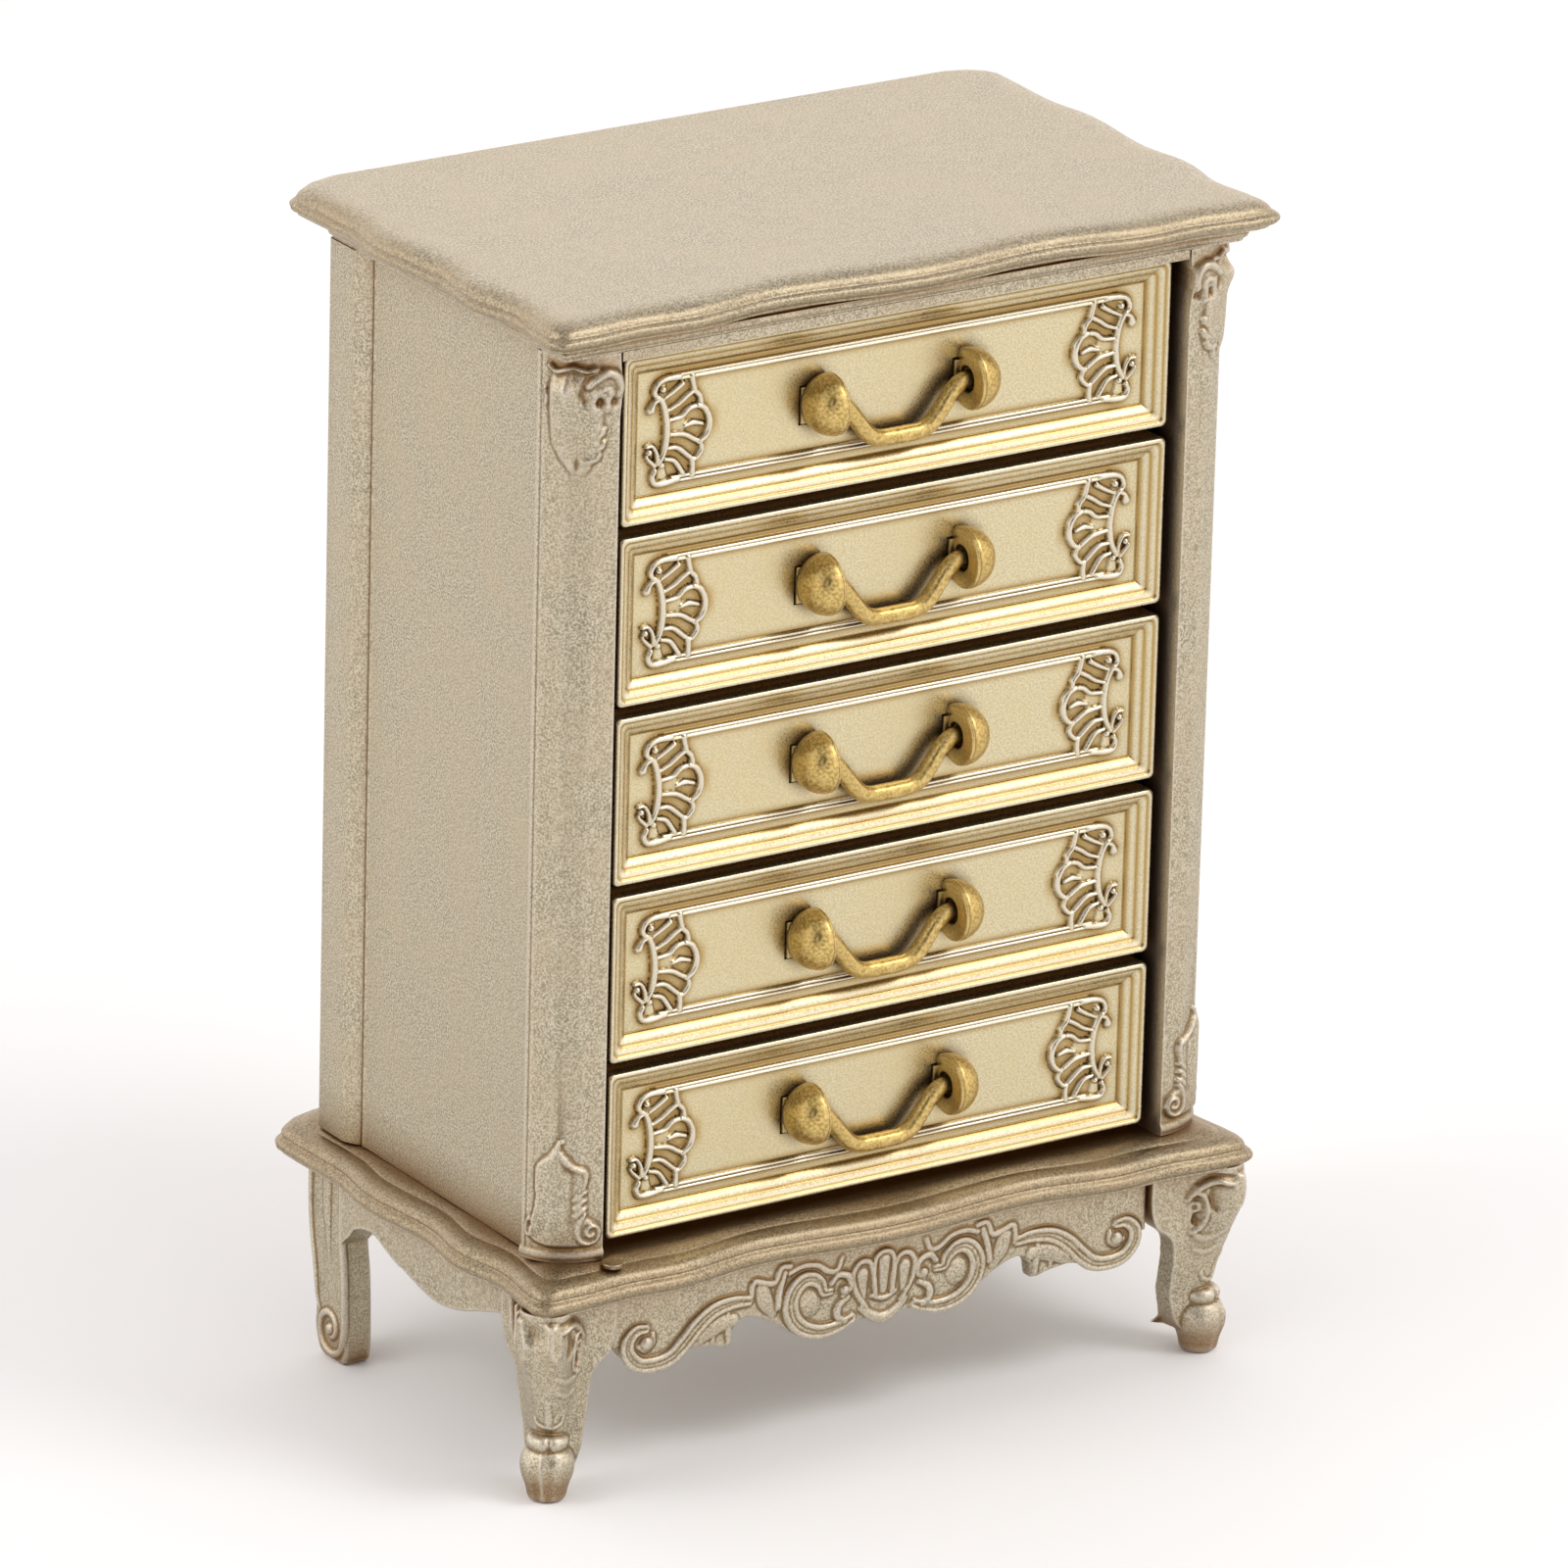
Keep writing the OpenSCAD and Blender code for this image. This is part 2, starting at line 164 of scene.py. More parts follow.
def level(flat, value):
    """Flat points (u, v) as (u, v, value)."""
    return np.column_stack([flat, np.full(len(flat), value)])


def revolve(profile, sides, place, shape=lambda angle, distance: 1):
    """Closed body turned from (radius, distance) points. place maps (x, y, distance) to the
    chest's axes, and shape scales the radius."""
    angle = np.linspace(0, 2 * math.pi, sides, endpoint=False)
    rings = []
    for radius, distance in profile:
        r = max(radius, 0.004) * shape(angle, distance)
        rings.append(place(level(np.column_stack([r * np.cos(angle), r * np.sin(angle)]), distance)))
    return loft(rings)


def ball(centre, radius, squash=(1, 1, 1)):
    """Closed round boss."""
    profile = [(math.sin(a), -math.cos(a)) for a in np.linspace(0, math.pi, 11)]
    return revolve(profile, 16, lambda p: np.asarray(centre) + p * radius * np.asarray(squash))


def inset(outline, distance):
    """A closed flat outline, moved inwards by a distance."""
    p = np.asarray(outline, float)
    edge = unit(np.roll(p, -1, 0) - p)
    turn = np.sign(np.sum(np.cross(p, np.roll(p, -1, 0))))
    side = np.stack([-edge[:, 1], edge[:, 0]], 1) * turn
    miter = side + np.roll(side, 1, 0)
    miter /= np.maximum(np.sum(miter * side, axis=1), 0.6)[:, None]
    return p + miter * distance


def slab(outline, place, low, high, edge=0.25):
    """Board with rounded edges. place maps (u, v, depth) to the chest's axes."""
    levels = [(low, edge), (low + 0.3 * edge, 0.3 * edge), (low + edge, 0),
              (high - edge, 0), (high - 0.3 * edge, 0.3 * edge), (high, edge)]
    return loft([place(level(inset(outline, shrink), depth)) for depth, shrink in levels])


def upright(p):
    """Places (x, z, y) points."""
    return p[:, [0, 2, 1]]


def sideways(p):
    """Places (y, z, x) points."""
    return p[:, [2, 0, 1]]


def plan(outline, low, high):
    """Straight body of an outline in plan, from one height to another."""
    return loft([level(outline, z) for z in (low, high)])


# ---- Carving: heights over a grid of two surface distances ----

def nearest(u, v, path):
    """Distance of each grid point from a path, and its share of the way along it."""
    best, share = np.full(u.shape, 1e9), np.zeros(u.shape)
    steps = np.linalg.norm(np.diff(path, axis=0), axis=1)
    total, done = steps.sum(), 0.0
    for a, b, step in zip(path[:-1], path[1:], steps):
        d = (b - a) / max(step, 1e-9)
        t = np.clip((u - a[0]) * d[0] + (v - a[1]) * d[1], 0, step)
        distance = np.hypot(u - a[0] - t * d[0], v - a[1] - t * d[1])
        closer = distance < best
        best = np.where(closer, distance, best)
        share = np.where(closer, (done + t) / total, share)
        done += step
    return best, share


def strip(height, u, v, path, widths, rise, base=0.0):
    """Raises a round-backed strip along a smooth path, on ground of height base."""
    distance, share = nearest(u, v, spline(path))
    radius = taper(widths, share)
    raised = base + rise * np.clip(1 - (distance / radius) ** 2, 0, None) ** 0.75
    return np.where(distance < radius, np.maximum(height, raised), height)


def groove(height, u, v, path, widths, depth):
    """Sinks a soft groove along a smooth path."""
    distance, share = nearest(u, v, spline(path))
    return height - depth * np.exp(-(distance / taper(widths, share)) ** 2 * 1.6)


def field(height, u, v, outline, rise, edge=0.35):
    """Raises the ground inside an outline, sloping up over a narrow edge."""
    p = np.asarray(outline, float)
    inside = np.zeros(u.shape, bool)
    for a, b in zip(p, np.roll(p, -1, 0)):
        if a[1] != b[1]:
            crosses = (a[1] > v) != (b[1] > v)
            inside ^= crosses & (u < (b[0] - a[0]) * (v - a[1]) / (b[1] - a[1]) + a[0])
    distance, _ = nearest(u, v, np.vstack([p, p[:1]]))
    share = np.clip(np.where(inside, distance, 0) / edge, 0, 1)
    return height + rise * share * (2 - share)


def dab(height, u, v, middle, size, rise):
    """Adds a soft round swelling, or a hollow where rise is negative."""
    return height + rise * np.exp(-((u - middle[0]) / size[0]) ** 2 - ((v - middle[1]) / size[1]) ** 2)


def carved(height, u, v, marks):
    """Makes marks in turn: one of the four functions above, and what it takes after the grid."""
    for mark, *shape in marks:
        height = mark(height, u, v, *shape)
    return height


def settle(height, rounds):
    """Softens a height map the way thick paint does."""
    for _ in range(rounds):
        padded = np.pad(height, 1, "edge")
        height = (padded[:-2, 1:-1] + padded[2:, 1:-1] + padded[1:-1, :-2] + padded[1:-1, 2:]
                  + 4 * height) / 8
    return height


# ---- Meshes and pieces ----

def vectors(mesh, kind="co"):
    """A mesh's points, or its normals, one to a row."""
    values = np.empty(len(mesh.vertices) * 3)
    mesh.vertices.foreach_get(kind, values)
    return values.reshape(-1, 3)


def write_crests(mesh, values):
    layer = mesh.attributes.new("crest", "FLOAT", "POINT")
    layer.data.foreach_set("value", values.astype(np.float32))


# How many times the crests are softened, and how strongly a bend shows
PAINT_CRESTS = (3, 0.3)
METAL_CRESTS = (2, 0.25)


def mark_crests(mesh, rounds, reach):
    """Writes how far each point is on a ridge (up to 1) or in a hollow (down to -1)."""
    count = len(mesh.vertices)
    points, normals = vectors(mesh) / MM, vectors(mesh, "normal")
    ends = np.empty(len(mesh.edges) * 2, int)
    mesh.edges.foreach_get("vertices", ends)
    a, b = ends.reshape(-1, 2).T
    step = points[b] - points[a]
    square = np.maximum(np.sum(step ** 2, axis=1), 1e-6)
    links = np.bincount(a, minlength=count) + np.bincount(b, minlength=count)
    bend = (np.bincount(a, np.sum(step * normals[a], 1) / square, count)
            - np.bincount(b, np.sum(step * normals[b], 1) / square, count))
    bend *= -2 / np.maximum(links, 1)
    for _ in range(rounds):
        total = np.bincount(a, bend[b], count) + np.bincount(b, bend[a], count)
        bend = 0.5 * bend + 0.5 * total / np.maximum(links, 1)
    write_crests(mesh, np.tanh(bend * reach))


def raw_mesh(name, points, faces):
    """Mesh with outward faces and smooth shading."""
    mesh = bpy.data.meshes.new(name)
    mesh.from_pydata(points.tolist(), [], faces)
    work = bmesh.new()
    work.from_mesh(mesh)
    bmesh.ops.recalc_face_normals(work, faces=work.faces)
    work.to_mesh(mesh)
    work.free()
    mesh.shade_smooth()
    return mesh


def make_mesh(name, shells, crease=35, crests=None):
    """One mesh of several shells, with edges sharper than crease degrees kept sharp."""
    points, faces = merge(shells)
    mesh = raw_mesh(name, points * MM, faces)
    mesh.set_sharp_from_angle(angle=math.radians(crease))
    if crests:
        mark_crests(mesh, *crests)
    return mesh


def link(name, data):
    """A new object in the scene."""
    thing = bpy.data.objects.new(name, data)
    bpy.context.scene.collection.objects.link(thing)
    return thing


def carve(name, shells, voxel=0.1):
    """One closed skin round overlapping shells, softened as if cast from a carving."""
    thing = link(name + "_block", raw_mesh(name + "_block", *merge(shells)))
    skin = thing.modifiers.new("skin", "REMESH")
    skin.mode = "VOXEL"
    skin.voxel_size = voxel
    thing.modifiers.new("soften", "SMOOTH").iterations = 2
    mesh = bpy.data.meshes.new_from_object(
        thing.evaluated_get(bpy.context.evaluated_depsgraph_get()))
    mesh.name = name
    bpy.data.objects.remove(thing)
    mesh.vertices.foreach_set("co", vectors(mesh).ravel() * MM)
    mesh.update()
    mesh.shade_smooth()
    mark_crests(mesh, *PAINT_CRESTS)
    return mesh


def piece(name, mesh, finish, body, cad, slot, lift=0.0):
    """Shows a mesh in place of a CAD node, riding on a body."""
    thing = link(name, mesh)
    thing.location.z = lift * MM
    if not mesh.materials:
        mesh.materials.append(finish)
    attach(thing, body)
    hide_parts(cad)


def carcass(name, cad, shells, skin=make_mesh, **options):
    """Shows a skin of shells in place of a carcass node."""
    piece(name, skin(name, shells, **options), PAINT, "carcass", cad, "carcass_paint")


def both_sides(name, cad, shells, skin=make_mesh, **options):
    """Shows right-hand shells and their mirror image. The names hold {} for the side."""
    carcass(name.format("left"), cad.format("left"), mirrored(shells), skin, **options)
    carcass(name.format("right"), cad.format("right"), shells, skin, **options)


# ---- Materials ----

def node(tree, kind, settings=None, **inputs):
    """Adds a shader node. An input is a plain value or another node's output."""
    made = tree.nodes.new("ShaderNode" + kind)
    for key, value in (settings or {}).items():
        setattr(made, key, value)
    for key, value in inputs.items():
        socket = made.inputs[key.replace("_", " ")]
        if isinstance(value, bpy.types.NodeSocket):
            tree.links.new(value, socket)
        else:
            socket.default_value = value
    return made


def blend(tree, share, first, second, mode="MIX"):
    """Colour between first and second."""
    made = tree.nodes.new("ShaderNodeMix")
    made.data_type = "RGBA"
    made.blend_type = mode
    for socket, value in ((made.inputs[0], share), (made.inputs[6], first), (made.inputs[7], second)):
        if isinstance(value, bpy.types.NodeSocket):
            tree.links.new(value, socket)
        else:
            socket.default_value = value if socket is made.inputs[0] else (*value, 1)
    return made.outputs[2]


def spread(tree, value, low, high, to_low=0.0, to_high=1.0):
    """Maps the range low to high onto another, without going past its ends."""
    made = node(tree, "MapRange", Value=value, From_Min=low, From_Max=high,
                To_Min=to_low, To_Max=to_high)
    return made.outputs[0]


def cloud(tree, place, size, detail=2.0, rough=0.55):
    """Soft noise whose blotches are about size millimetres across."""
    return node(tree, "TexNoise", Vector=place, Scale=1 / (size * MM),
                Detail=detail, Roughness=rough).outputs[0]


def metal_paint(name, light, dark, hollow, crest, tint, shade_and_antiquing_colour, flake, drift, drift_share, reach,
                shade_and_antiquing_share, sharp, hollow_antiquing_and_shade, ridge_highlight, rough, bump, metal, coat, shade_and_antiquing_bands=()):
    """Metallic paint with fine flakes, darker antiquing in hollows, painted highlights on ridges, and
    painted shade, partly antiquing, where ambient occlusion finds corners and gaps; bands by height can
    brown it further as painted shade and reflection.
    """
    material = bpy.data.materials.new(name)
    material.use_nodes = True
    tree = material.node_tree
    join = tree.links.new
    shader = tree.nodes["Principled BSDF"]
    place = node(tree, "TexCoord").outputs["Object"]
    flakes = cloud(tree, place, flake, 2.5, 0.6)
    blotches = cloud(tree, place, drift, 3)
    bend = node(tree, "Attribute", {"attribute_name": "crest"}).outputs["Fac"]
    shade = node(tree, "AmbientOcclusion", {"samples": 10}, Distance=reach * MM)
    mottle = spread(tree, cloud(tree, place, flake * 4, 2), 0.3, 0.7, -0.1, 0.1)
    grain = node(tree, "Math", {"operation": "ADD", "use_clamp": True})
    join(spread(tree, flakes, 0.38, 0.62), grain.inputs[0])
    join(mottle, grain.inputs[1])
    colour = blend(tree, grain.outputs[0], dark, light)
    colour = blend(tree, spread(tree, blotches, 0.3, 0.7, 0, drift_share), colour, tint)
    # Bands by height turn the colour brown, fading out above: painted shade and reflection, partly real
    # antiquing where a band lies on the base.
    for low, high, end, share in shade_and_antiquing_bands:
        height = node(tree, "SeparateXYZ", Vector=place).outputs["Z"]
        band = node(tree, "Math", {"operation": "MULTIPLY"})
        join(spread(tree, height, low * MM, (low + 0.6) * MM), band.inputs[0])
        join(spread(tree, height, high * MM, end * MM, share, 0), band.inputs[1])
        colour = blend(tree, band.outputs[0], colour, (0.55, 0.45, 0.32), "MULTIPLY")
    # Antiquing darkens hollows; where a mesh marks hidden sides as full hollows, as on the drawer fronts,
    # this darkening is painted shade.
    sunk = spread(tree, bend, -0.02, -sharp, 0, hollow_antiquing_and_shade)
    colour = blend(tree, sunk, colour, hollow)
    # Painted shade, partly antiquing: the colour darkens where ambient occlusion finds corners, gaps and
    # hidden places.
    shade_and_antiquing = spread(tree, shade.outputs["AO"], 0.9, 0.3, 0, shade_and_antiquing_share)
    colour = blend(tree, shade_and_antiquing, colour, shade_and_antiquing_colour)
    # Painted highlights: ridges, and rims the meshes mark as ridges, turn paler.
    colour = blend(tree, spread(tree, bend, 0.04, sharp, 0, ridge_highlight), colour, crest)
    matt = spread(tree, flakes, 0.3, 0.7, rough - 0.07, rough + 0.09)
    fine = node(tree, "Bump", Strength=bump, Distance=0.03 * MM, Height=flakes)
    broad = node(tree, "Bump", Strength=0.25, Distance=0.05 * MM,
                 Height=cloud(tree, place, 2.2, 2), Normal=fine.outputs[0])
    join(colour, shader.inputs["Base Color"])
    join(matt, shader.inputs["Roughness"])
    join(broad.outputs[0], shader.inputs["Normal"])
    shader.inputs["Metallic"].default_value = metal
    shader.inputs["Coat Weight"].default_value = coat
    shader.inputs["Coat Roughness"].default_value = 0.25
    return material


# The carcass's two bands brown the base board with the 5 mm above it, and the moulded edge just under the
# top: painted shade and reflection, partly real antiquing on the base. In every finish the shade colour
# is painted shade from ambient occlusion, partly antiquing, and the pale ridge colour is a painted
# highlight.
PAINT = metal_paint(
    "champagne_silver_paint", (0.66, 0.595, 0.46), (0.27, 0.235, 0.155), (0.17, 0.10, 0.03),
    (0.74, 0.69, 0.60), tint=(0.53, 0.44, 0.30), shade_and_antiquing_colour=(0.23, 0.105, 0.02), flake=0.2, drift=6,
    drift_share=0.45, reach=6, shade_and_antiquing_share=0.95, sharp=0.3, hollow_antiquing_and_shade=0.75, ridge_highlight=0.35, rough=0.43, bump=0.7,
    metal=0.95, coat=0.04,
    shade_and_antiquing_bands=((LEG_TOP + 0.2, BASE_TOP, BASE_TOP + 5, 0.65), (TOP - 2.6, TOP - 0.6, TOP - 0.05, 0.5)))
GILT = metal_paint(
    "pale_gilt_paint", (0.74, 0.66, 0.45), (0.54, 0.475, 0.29), (0.40, 0.24, 0.05),
    (0.80, 0.77, 0.72), tint=(0.66, 0.53, 0.27), shade_and_antiquing_colour=(0.10, 0.045, 0.008), flake=0.2, drift=7,
    drift_share=0.5, reach=1.6, shade_and_antiquing_share=0.95, sharp=0.5, hollow_antiquing_and_shade=0.8, ridge_highlight=0.5, rough=0.3, bump=0.25,
    metal=0.95, coat=0.1)
INNER = metal_paint(
    "drawer_box_plastic", (0.60, 0.54, 0.40), (0.50, 0.44, 0.32), (0.30, 0.22, 0.10),
    (0.75, 0.70, 0.58), tint=(0.56, 0.48, 0.34), shade_and_antiquing_colour=(0.12, 0.08, 0.04), flake=0.35, drift=12,
    drift_share=0.4, reach=4, shade_and_antiquing_share=0.6, sharp=0.4, hollow_antiquing_and_shade=0.4, ridge_highlight=0.3, rough=0.5, bump=0.25,
    metal=0.55, coat=0.0)
BRASS = metal_paint(
    "satin_brass", (0.74, 0.55, 0.21), (0.36, 0.235, 0.05), (0.14, 0.075, 0.012),
    (0.78, 0.62, 0.32), tint=(0.46, 0.31, 0.09), shade_and_antiquing_colour=(0.07, 0.035, 0.008), flake=0.28, drift=3,
    drift_share=0.4, reach=1.2, shade_and_antiquing_share=0.8, sharp=0.5, hollow_antiquing_and_shade=0.7, ridge_highlight=0.5, rough=0.36, bump=0.35,
    metal=0.95, coat=0.05)


# ---- Boards ----

def widest_ring(name):
    """The outline of a CAD board where it is widest, in order round the board."""
    points = vectors(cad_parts[name].data) / MM
    widest = points[np.argmax(points[:, 0]), 2]
    ring = np.unique(np.round(points[np.abs(points[:, 2] - widest) < 0.01][:, :2], 3), axis=0)
    return ring[np.argsort(np.arctan2(ring[:, 1] * 1.6, ring[:, 0]))]


BACK_SHARE = 0.3   # the back edge of a board is cut almost square


def moulded_board(name, profile):
    """Board whose edge follows a smooth profile of (height, inset), bottom to top."""
    outline = widest_ring(name)
    reach = np.abs(outline).max(0)
    low, high = box(name)
    edge = spline(profile, 4)
    edge = np.clip(edge, 0, (high[2] - low[2], reach.min()))
    edge = np.vstack([[0, edge[0, 1] + 0.5], edge, [edge[-1, 0], edge[-1, 1] + 0.6]])
    share = np.column_stack([np.ones(len(outline)), np.where(outline[:, 1] > 0, BACK_SHARE, 1)])
    return loft([level(outline * (1 - shrink * share / reach), low[2] + up) for up, shrink in edge])


def build_boards():
    top = moulded_board("top_board", [(0, 0.95), (0.12, 0.72), (0.26, 0.66), (0.38, 0.5), (0.55, 0.22),
        (0.78, 0.04), (1, 0), (1.2, 0.1), (1.36, 0.32), (1.46, 0.52), (1.56, 0.6), (1.72, 0.68),
        (1.98, 0.88), (2.2, 1.18), (2.38, 1.58), (2.5, 2.05), (2.57, 2.6), (2.6, 3.2)])
    carcass("top_board_moulded", "top_board", [top])
    base = moulded_board("base_board", [(0, 0.9), (0.2, 0.62), (0.36, 0.6), (0.5, 0.35), (0.8, 0.06),
        (1.1, 0), (1.42, 0.16), (1.68, 0.5), (1.8, 0.6), (1.95, 0.58), (2.25, 0.7), (2.6, 1.05),
        (2.84, 1.6), (2.93, 2.1), (2.96, 2.4), (3.08, 2.6), (3.28, 3.05), (3.42, 3.7), (3.48, 4.4),
        (3.5, 5.2)])
    disc = revolve([(0.3, -0.3), (0.95, -0.3), (1, 0), (0.93, 0.1), (0.78, 0.06), (0, 0.04)],
        32, lambda p: p + (-HALF_W + 6.2, CASE_FRONT - 1.3, BASE_TOP))
    carcass("base_board_moulded", "base_board", [base, disc])


def build_frieze():
    low, high = box("frieze_board")
    centre, half = (low + high)[:2] / 2, (high - low)[:2] / 2
    corner = 0.5
    rings = []
    for up, shrink in [(0, 0.9), (0, 0.4), (0.25, 0.34), (0.45, 0.1), (0.75, 0), (1.05, 0.1),
                       (1.2, 0.38), (1.45, 0.42), (1.45, 1)]:
        x, y = half - shrink
        arc = np.array([(x - corner + corner * math.cos(a), y - corner + corner * math.sin(a))
                        for a in np.linspace(0, math.pi / 2, 5)])
        rings.append(level(np.vstack([arc, arc[::-1] * (-1, 1), -arc, arc[::-1] * (1, -1)]) + centre,
                           low[2] + up))
    edge_x, front, back = POST_INNER - 0.05, CASE_FRONT - 0.05, -18.9
    lip = plan([(-edge_x, front), (edge_x, front), (edge_x, back), (-edge_x, back)],
               low[2] - 0.85, low[2] + 0.05)
    carcass("frieze_moulded", "frieze_board", [loft(rings), lip])


# ---- Sides, back and posts ----

def build_sides():
    low, high = box("right_side_panel")
    panel, stile = HALF_W - 1.0, CASE_BACK - 4.4
    edge = np.array([(0, -2.35), (0.12, -2.15), (0.02, -1.95), (-0.16, -1.8), (0.12, -1.62), (0.5, -1.1),
        (0.84, -0.4)]) + (panel, stile)
    edge = spline([*edge, (HALF_W - 0.02, stile)])
    outline = np.vstack([[(low[0], POST_BACK - 1), (panel, POST_BACK - 1), (panel, stile - 2.6)], edge,
                         [(HALF_W, stile + 0.15), (HALF_W, CASE_BACK - 0.3),
                          (HALF_W - 0.1, CASE_BACK - 0.08), (HALF_W - 0.3, CASE_BACK),
                          (low[0], CASE_BACK)]])
    both_sides("{}_side_panelled", "{}_side_panel", [plan(outline, low[2], high[2])])


def build_back():
    low, high = box("back_panel")
    centre, half = (low + high)[[0, 2]] / 2, (high - low)[[0, 2]] / 2
    rings = []
    for shrink, depth in [(0, 0), (0, 1.9), (0.1, 2), (4.4, 2), (4.6, 1.9), (4.75, 1.6), (5, 1.5),
                          (5.2, 1.62), (5.4, 1.5), (5.9, 1.42)]:
        x, z = half - shrink
        ring = np.array([(x, z), (-x, z), (-x, -z), (x, -z)]) + centre
        rings.append(upright(level(ring, low[1] + depth)))
    carcass("back_panel_framed", "back_panel", [loft(rings)])


POST_SKIN = 8.4


def post_top_leaf(h, s, z):
    """Thick leaf that swells out and curls back under the top of a post, with a curl beside it.
    s runs from the side to the front, and z is down from the top."""
    leaf = [(2.1, -1.3), (1.75, -2.2), (1.65, -4), (1.7, -5.7), (1.95, -8.3), (2.5, -9.2), (3.5, -10.4),
        (4.3, -11.15), (5.3, -11.1), (5.9, -10.4), (6.05, -9.95), (6.5, -9.7), (6.7, -9), (7, -8.7),
        (6.85, -7.8), (7.1, -6.9), (6.9, -6.2), (7.15, -5.2), (7.6, -3.6), (7, -2), (5.6, -1.5),
        (4.3, -1.2), (3.2, -1.5)]
    edge = spline(leaf, 3)
    swell = np.interp(z, [-11.2, -8.5, -5.5, -3.9, -3.0, -2.1, -1.3],
        [0.24, 0.34, 0.5, 0.7, 0.7, 0.3, 0.15])
    swell = dab(dab(swell, s, z, (3.4, -3.2), (0.9, 1.1), 0.4), s, z, (4.2, -8), (1.2, 2), 0.1)
    folds = 0.06 * np.cos((s - 2.3) * 5) * np.clip((z + 5.5) / 3, 0, 1)
    h = h + field(np.zeros(s.shape), s, z, edge, 1.0, 0.7) * (swell + folds)
    h = carved(h, s, z, [
        (groove, edge, [0.25], 0.07),
        (dab, (5.1, -3.5), (0.55, 0.9), -0.75),
        (dab, (4.5, -10.2), (0.28, 0.7), -0.3),
        *((strip, [(across - 1.1, up - 0.2), (across, up), (across + 0.3, up + 0.5)],
           [0.4, 0.6, 0.4], 0.12, 0.34) for across, up in ((6.2, -9.6), (6.6, -8.5), (6.6, -7.3))),
        (strip, [(1.8, -1), (2.6, -1.45), (3.4, -1.25), (4.2, -1.05), (5.2, -1.35), (6.2, -1.2)],
         [0.4, 0.55, 0.45, 0.5, 0.4], 0.35, 0.3)])
    curl = np.clip(dab(0, s, z, (7, -3.3), (1.35, 1.75), 1.4), 0, 0.7)
    return carved(np.maximum(h, curl), s, z, [
        (strip, [(5.4, -2.7), (6.1, -2), (7, -1.5), (7.8, -1.9), (8.1, -2.9), (7.9, -3.9)],
         [0.6, 0.8, 0.9, 0.8, 0.6, 0.5], 0.4, 0.6),
        (strip, [(6.2, -3.2), (6.9, -2.9), (7.3, -3.4), (7.05, -4.1), (7.1, -5)],
         [0.45, 0.55, 0.5, 0.45], 0.35, 0.55),
        (dab, (6.45, -4.3), (0.38, 0.5), -0.8),
        (dab, (7.75, -4.3), (0.38, 0.5), -0.8),
        (strip, [(1.3, -3.2), (1.55, -4), (1.35, -4.8)], [0.3, 0.5, 0.3], 0.3, 0.2)])


def post_shield(h, s, z):
    """Pointed plate with a fold down its middle and two curls, standing on the foot of a post."""
    plate = [(4.1, 11.5), (3.4, 10.4), (2.9, 9.9), (2.1, 9.2), (1.95, 8.3), (2.1, 6.4), (1.9, 5),
        (1.5, 3.8), (1.1, 3), (1.5, 2), (2.7, 1.55), (4.6, 1.4), (6.8, 1.5), (7.9, 2), (8.1, 3),
        (7.5, 3.9), (6.6, 4.6), (6.5, 5.8), (6.7, 7.1), (6.8, 8.2), (6.65, 8.9), (5.7, 9.1), (4.9, 10)]
    edge = spline(plate, 3)
    body = field(np.zeros(s.shape), s, z, edge, 1.0, 0.35)
    fold = np.exp(-((s - 4.2) / np.where(s < 4.2, 1.7, 0.35)) ** 2)
    h = h + body * (0.34 + 0.2 * fold * np.clip(z / 9, 0.4, 1) - 0.05 * np.clip((z - 6) / 5, 0, 1))
    return carved(h, s, z, [
        (groove, edge, [0.2], 0.09),
        (strip, [(4.1, 11.3), (3.3, 10.2), (2.25, 9.2), (2.05, 8.2), (2.15, 6.2), (1.95, 4.8),
                 (1.6, 3.7)], [0.35, 0.3, 0.28], 0.08, 0.33),
        (strip, [(4.3, 10.6), (4.9, 9.8), (5.6, 9.1), (6.5, 8.8), (6.65, 8.1), (6.5, 7.2)],
         [0.55, 0.6, 0.5, 0.3], 0.22, 0.34),
        (groove, [(5, 9), (5.5, 8.2), (5.3, 4)], [0.8, 1.1, 1.2], 0.16),
        *((strip, [(5.7, up - 0.6), (6.2, up - 0.1), (6.6, up + 0.1)], [0.3, 0.45, 0.4], 0.16, 0.34)
          for up in (6.7, 5.9, 5.1)),
        (strip, [(6.6, 4.7), (6.2, 4.1), (5.95, 3.2), (6.1, 2.3), (6.8, 1.8), (7.6, 2.1), (7.9, 2.9),
                 (7.5, 3.5), (6.9, 3.4), (6.7, 2.9), (7, 2.5), (7.3, 2.7)],
         [0.35, 0.38, 0.4, 0.38, 0.32], 0.32, 0.34),
        (strip, [(1.3, 4), (1, 3.3), (1.15, 2.5), (1.6, 2.5), (1.6, 3)], [0.3, 0.4, 0.3], 0.3, 0.3),
        (strip, [(4.1, 11), (4.2, 11.5), (4.5, 11.7)], [0.5, 0.45, 0.3], 0.3, 0.15)])


def post_reeds(h, s):
    """Soft facets and a fine bead down the whole post."""
    h = h + 0.07 * np.cos((s - 0.9) / 2.6 * 2 * math.pi)
    return h + 0.1 * np.exp(-((s - 0.35) / 0.16) ** 2) - 0.1 * np.exp(-((s - 0.68) / 0.14) ** 2)


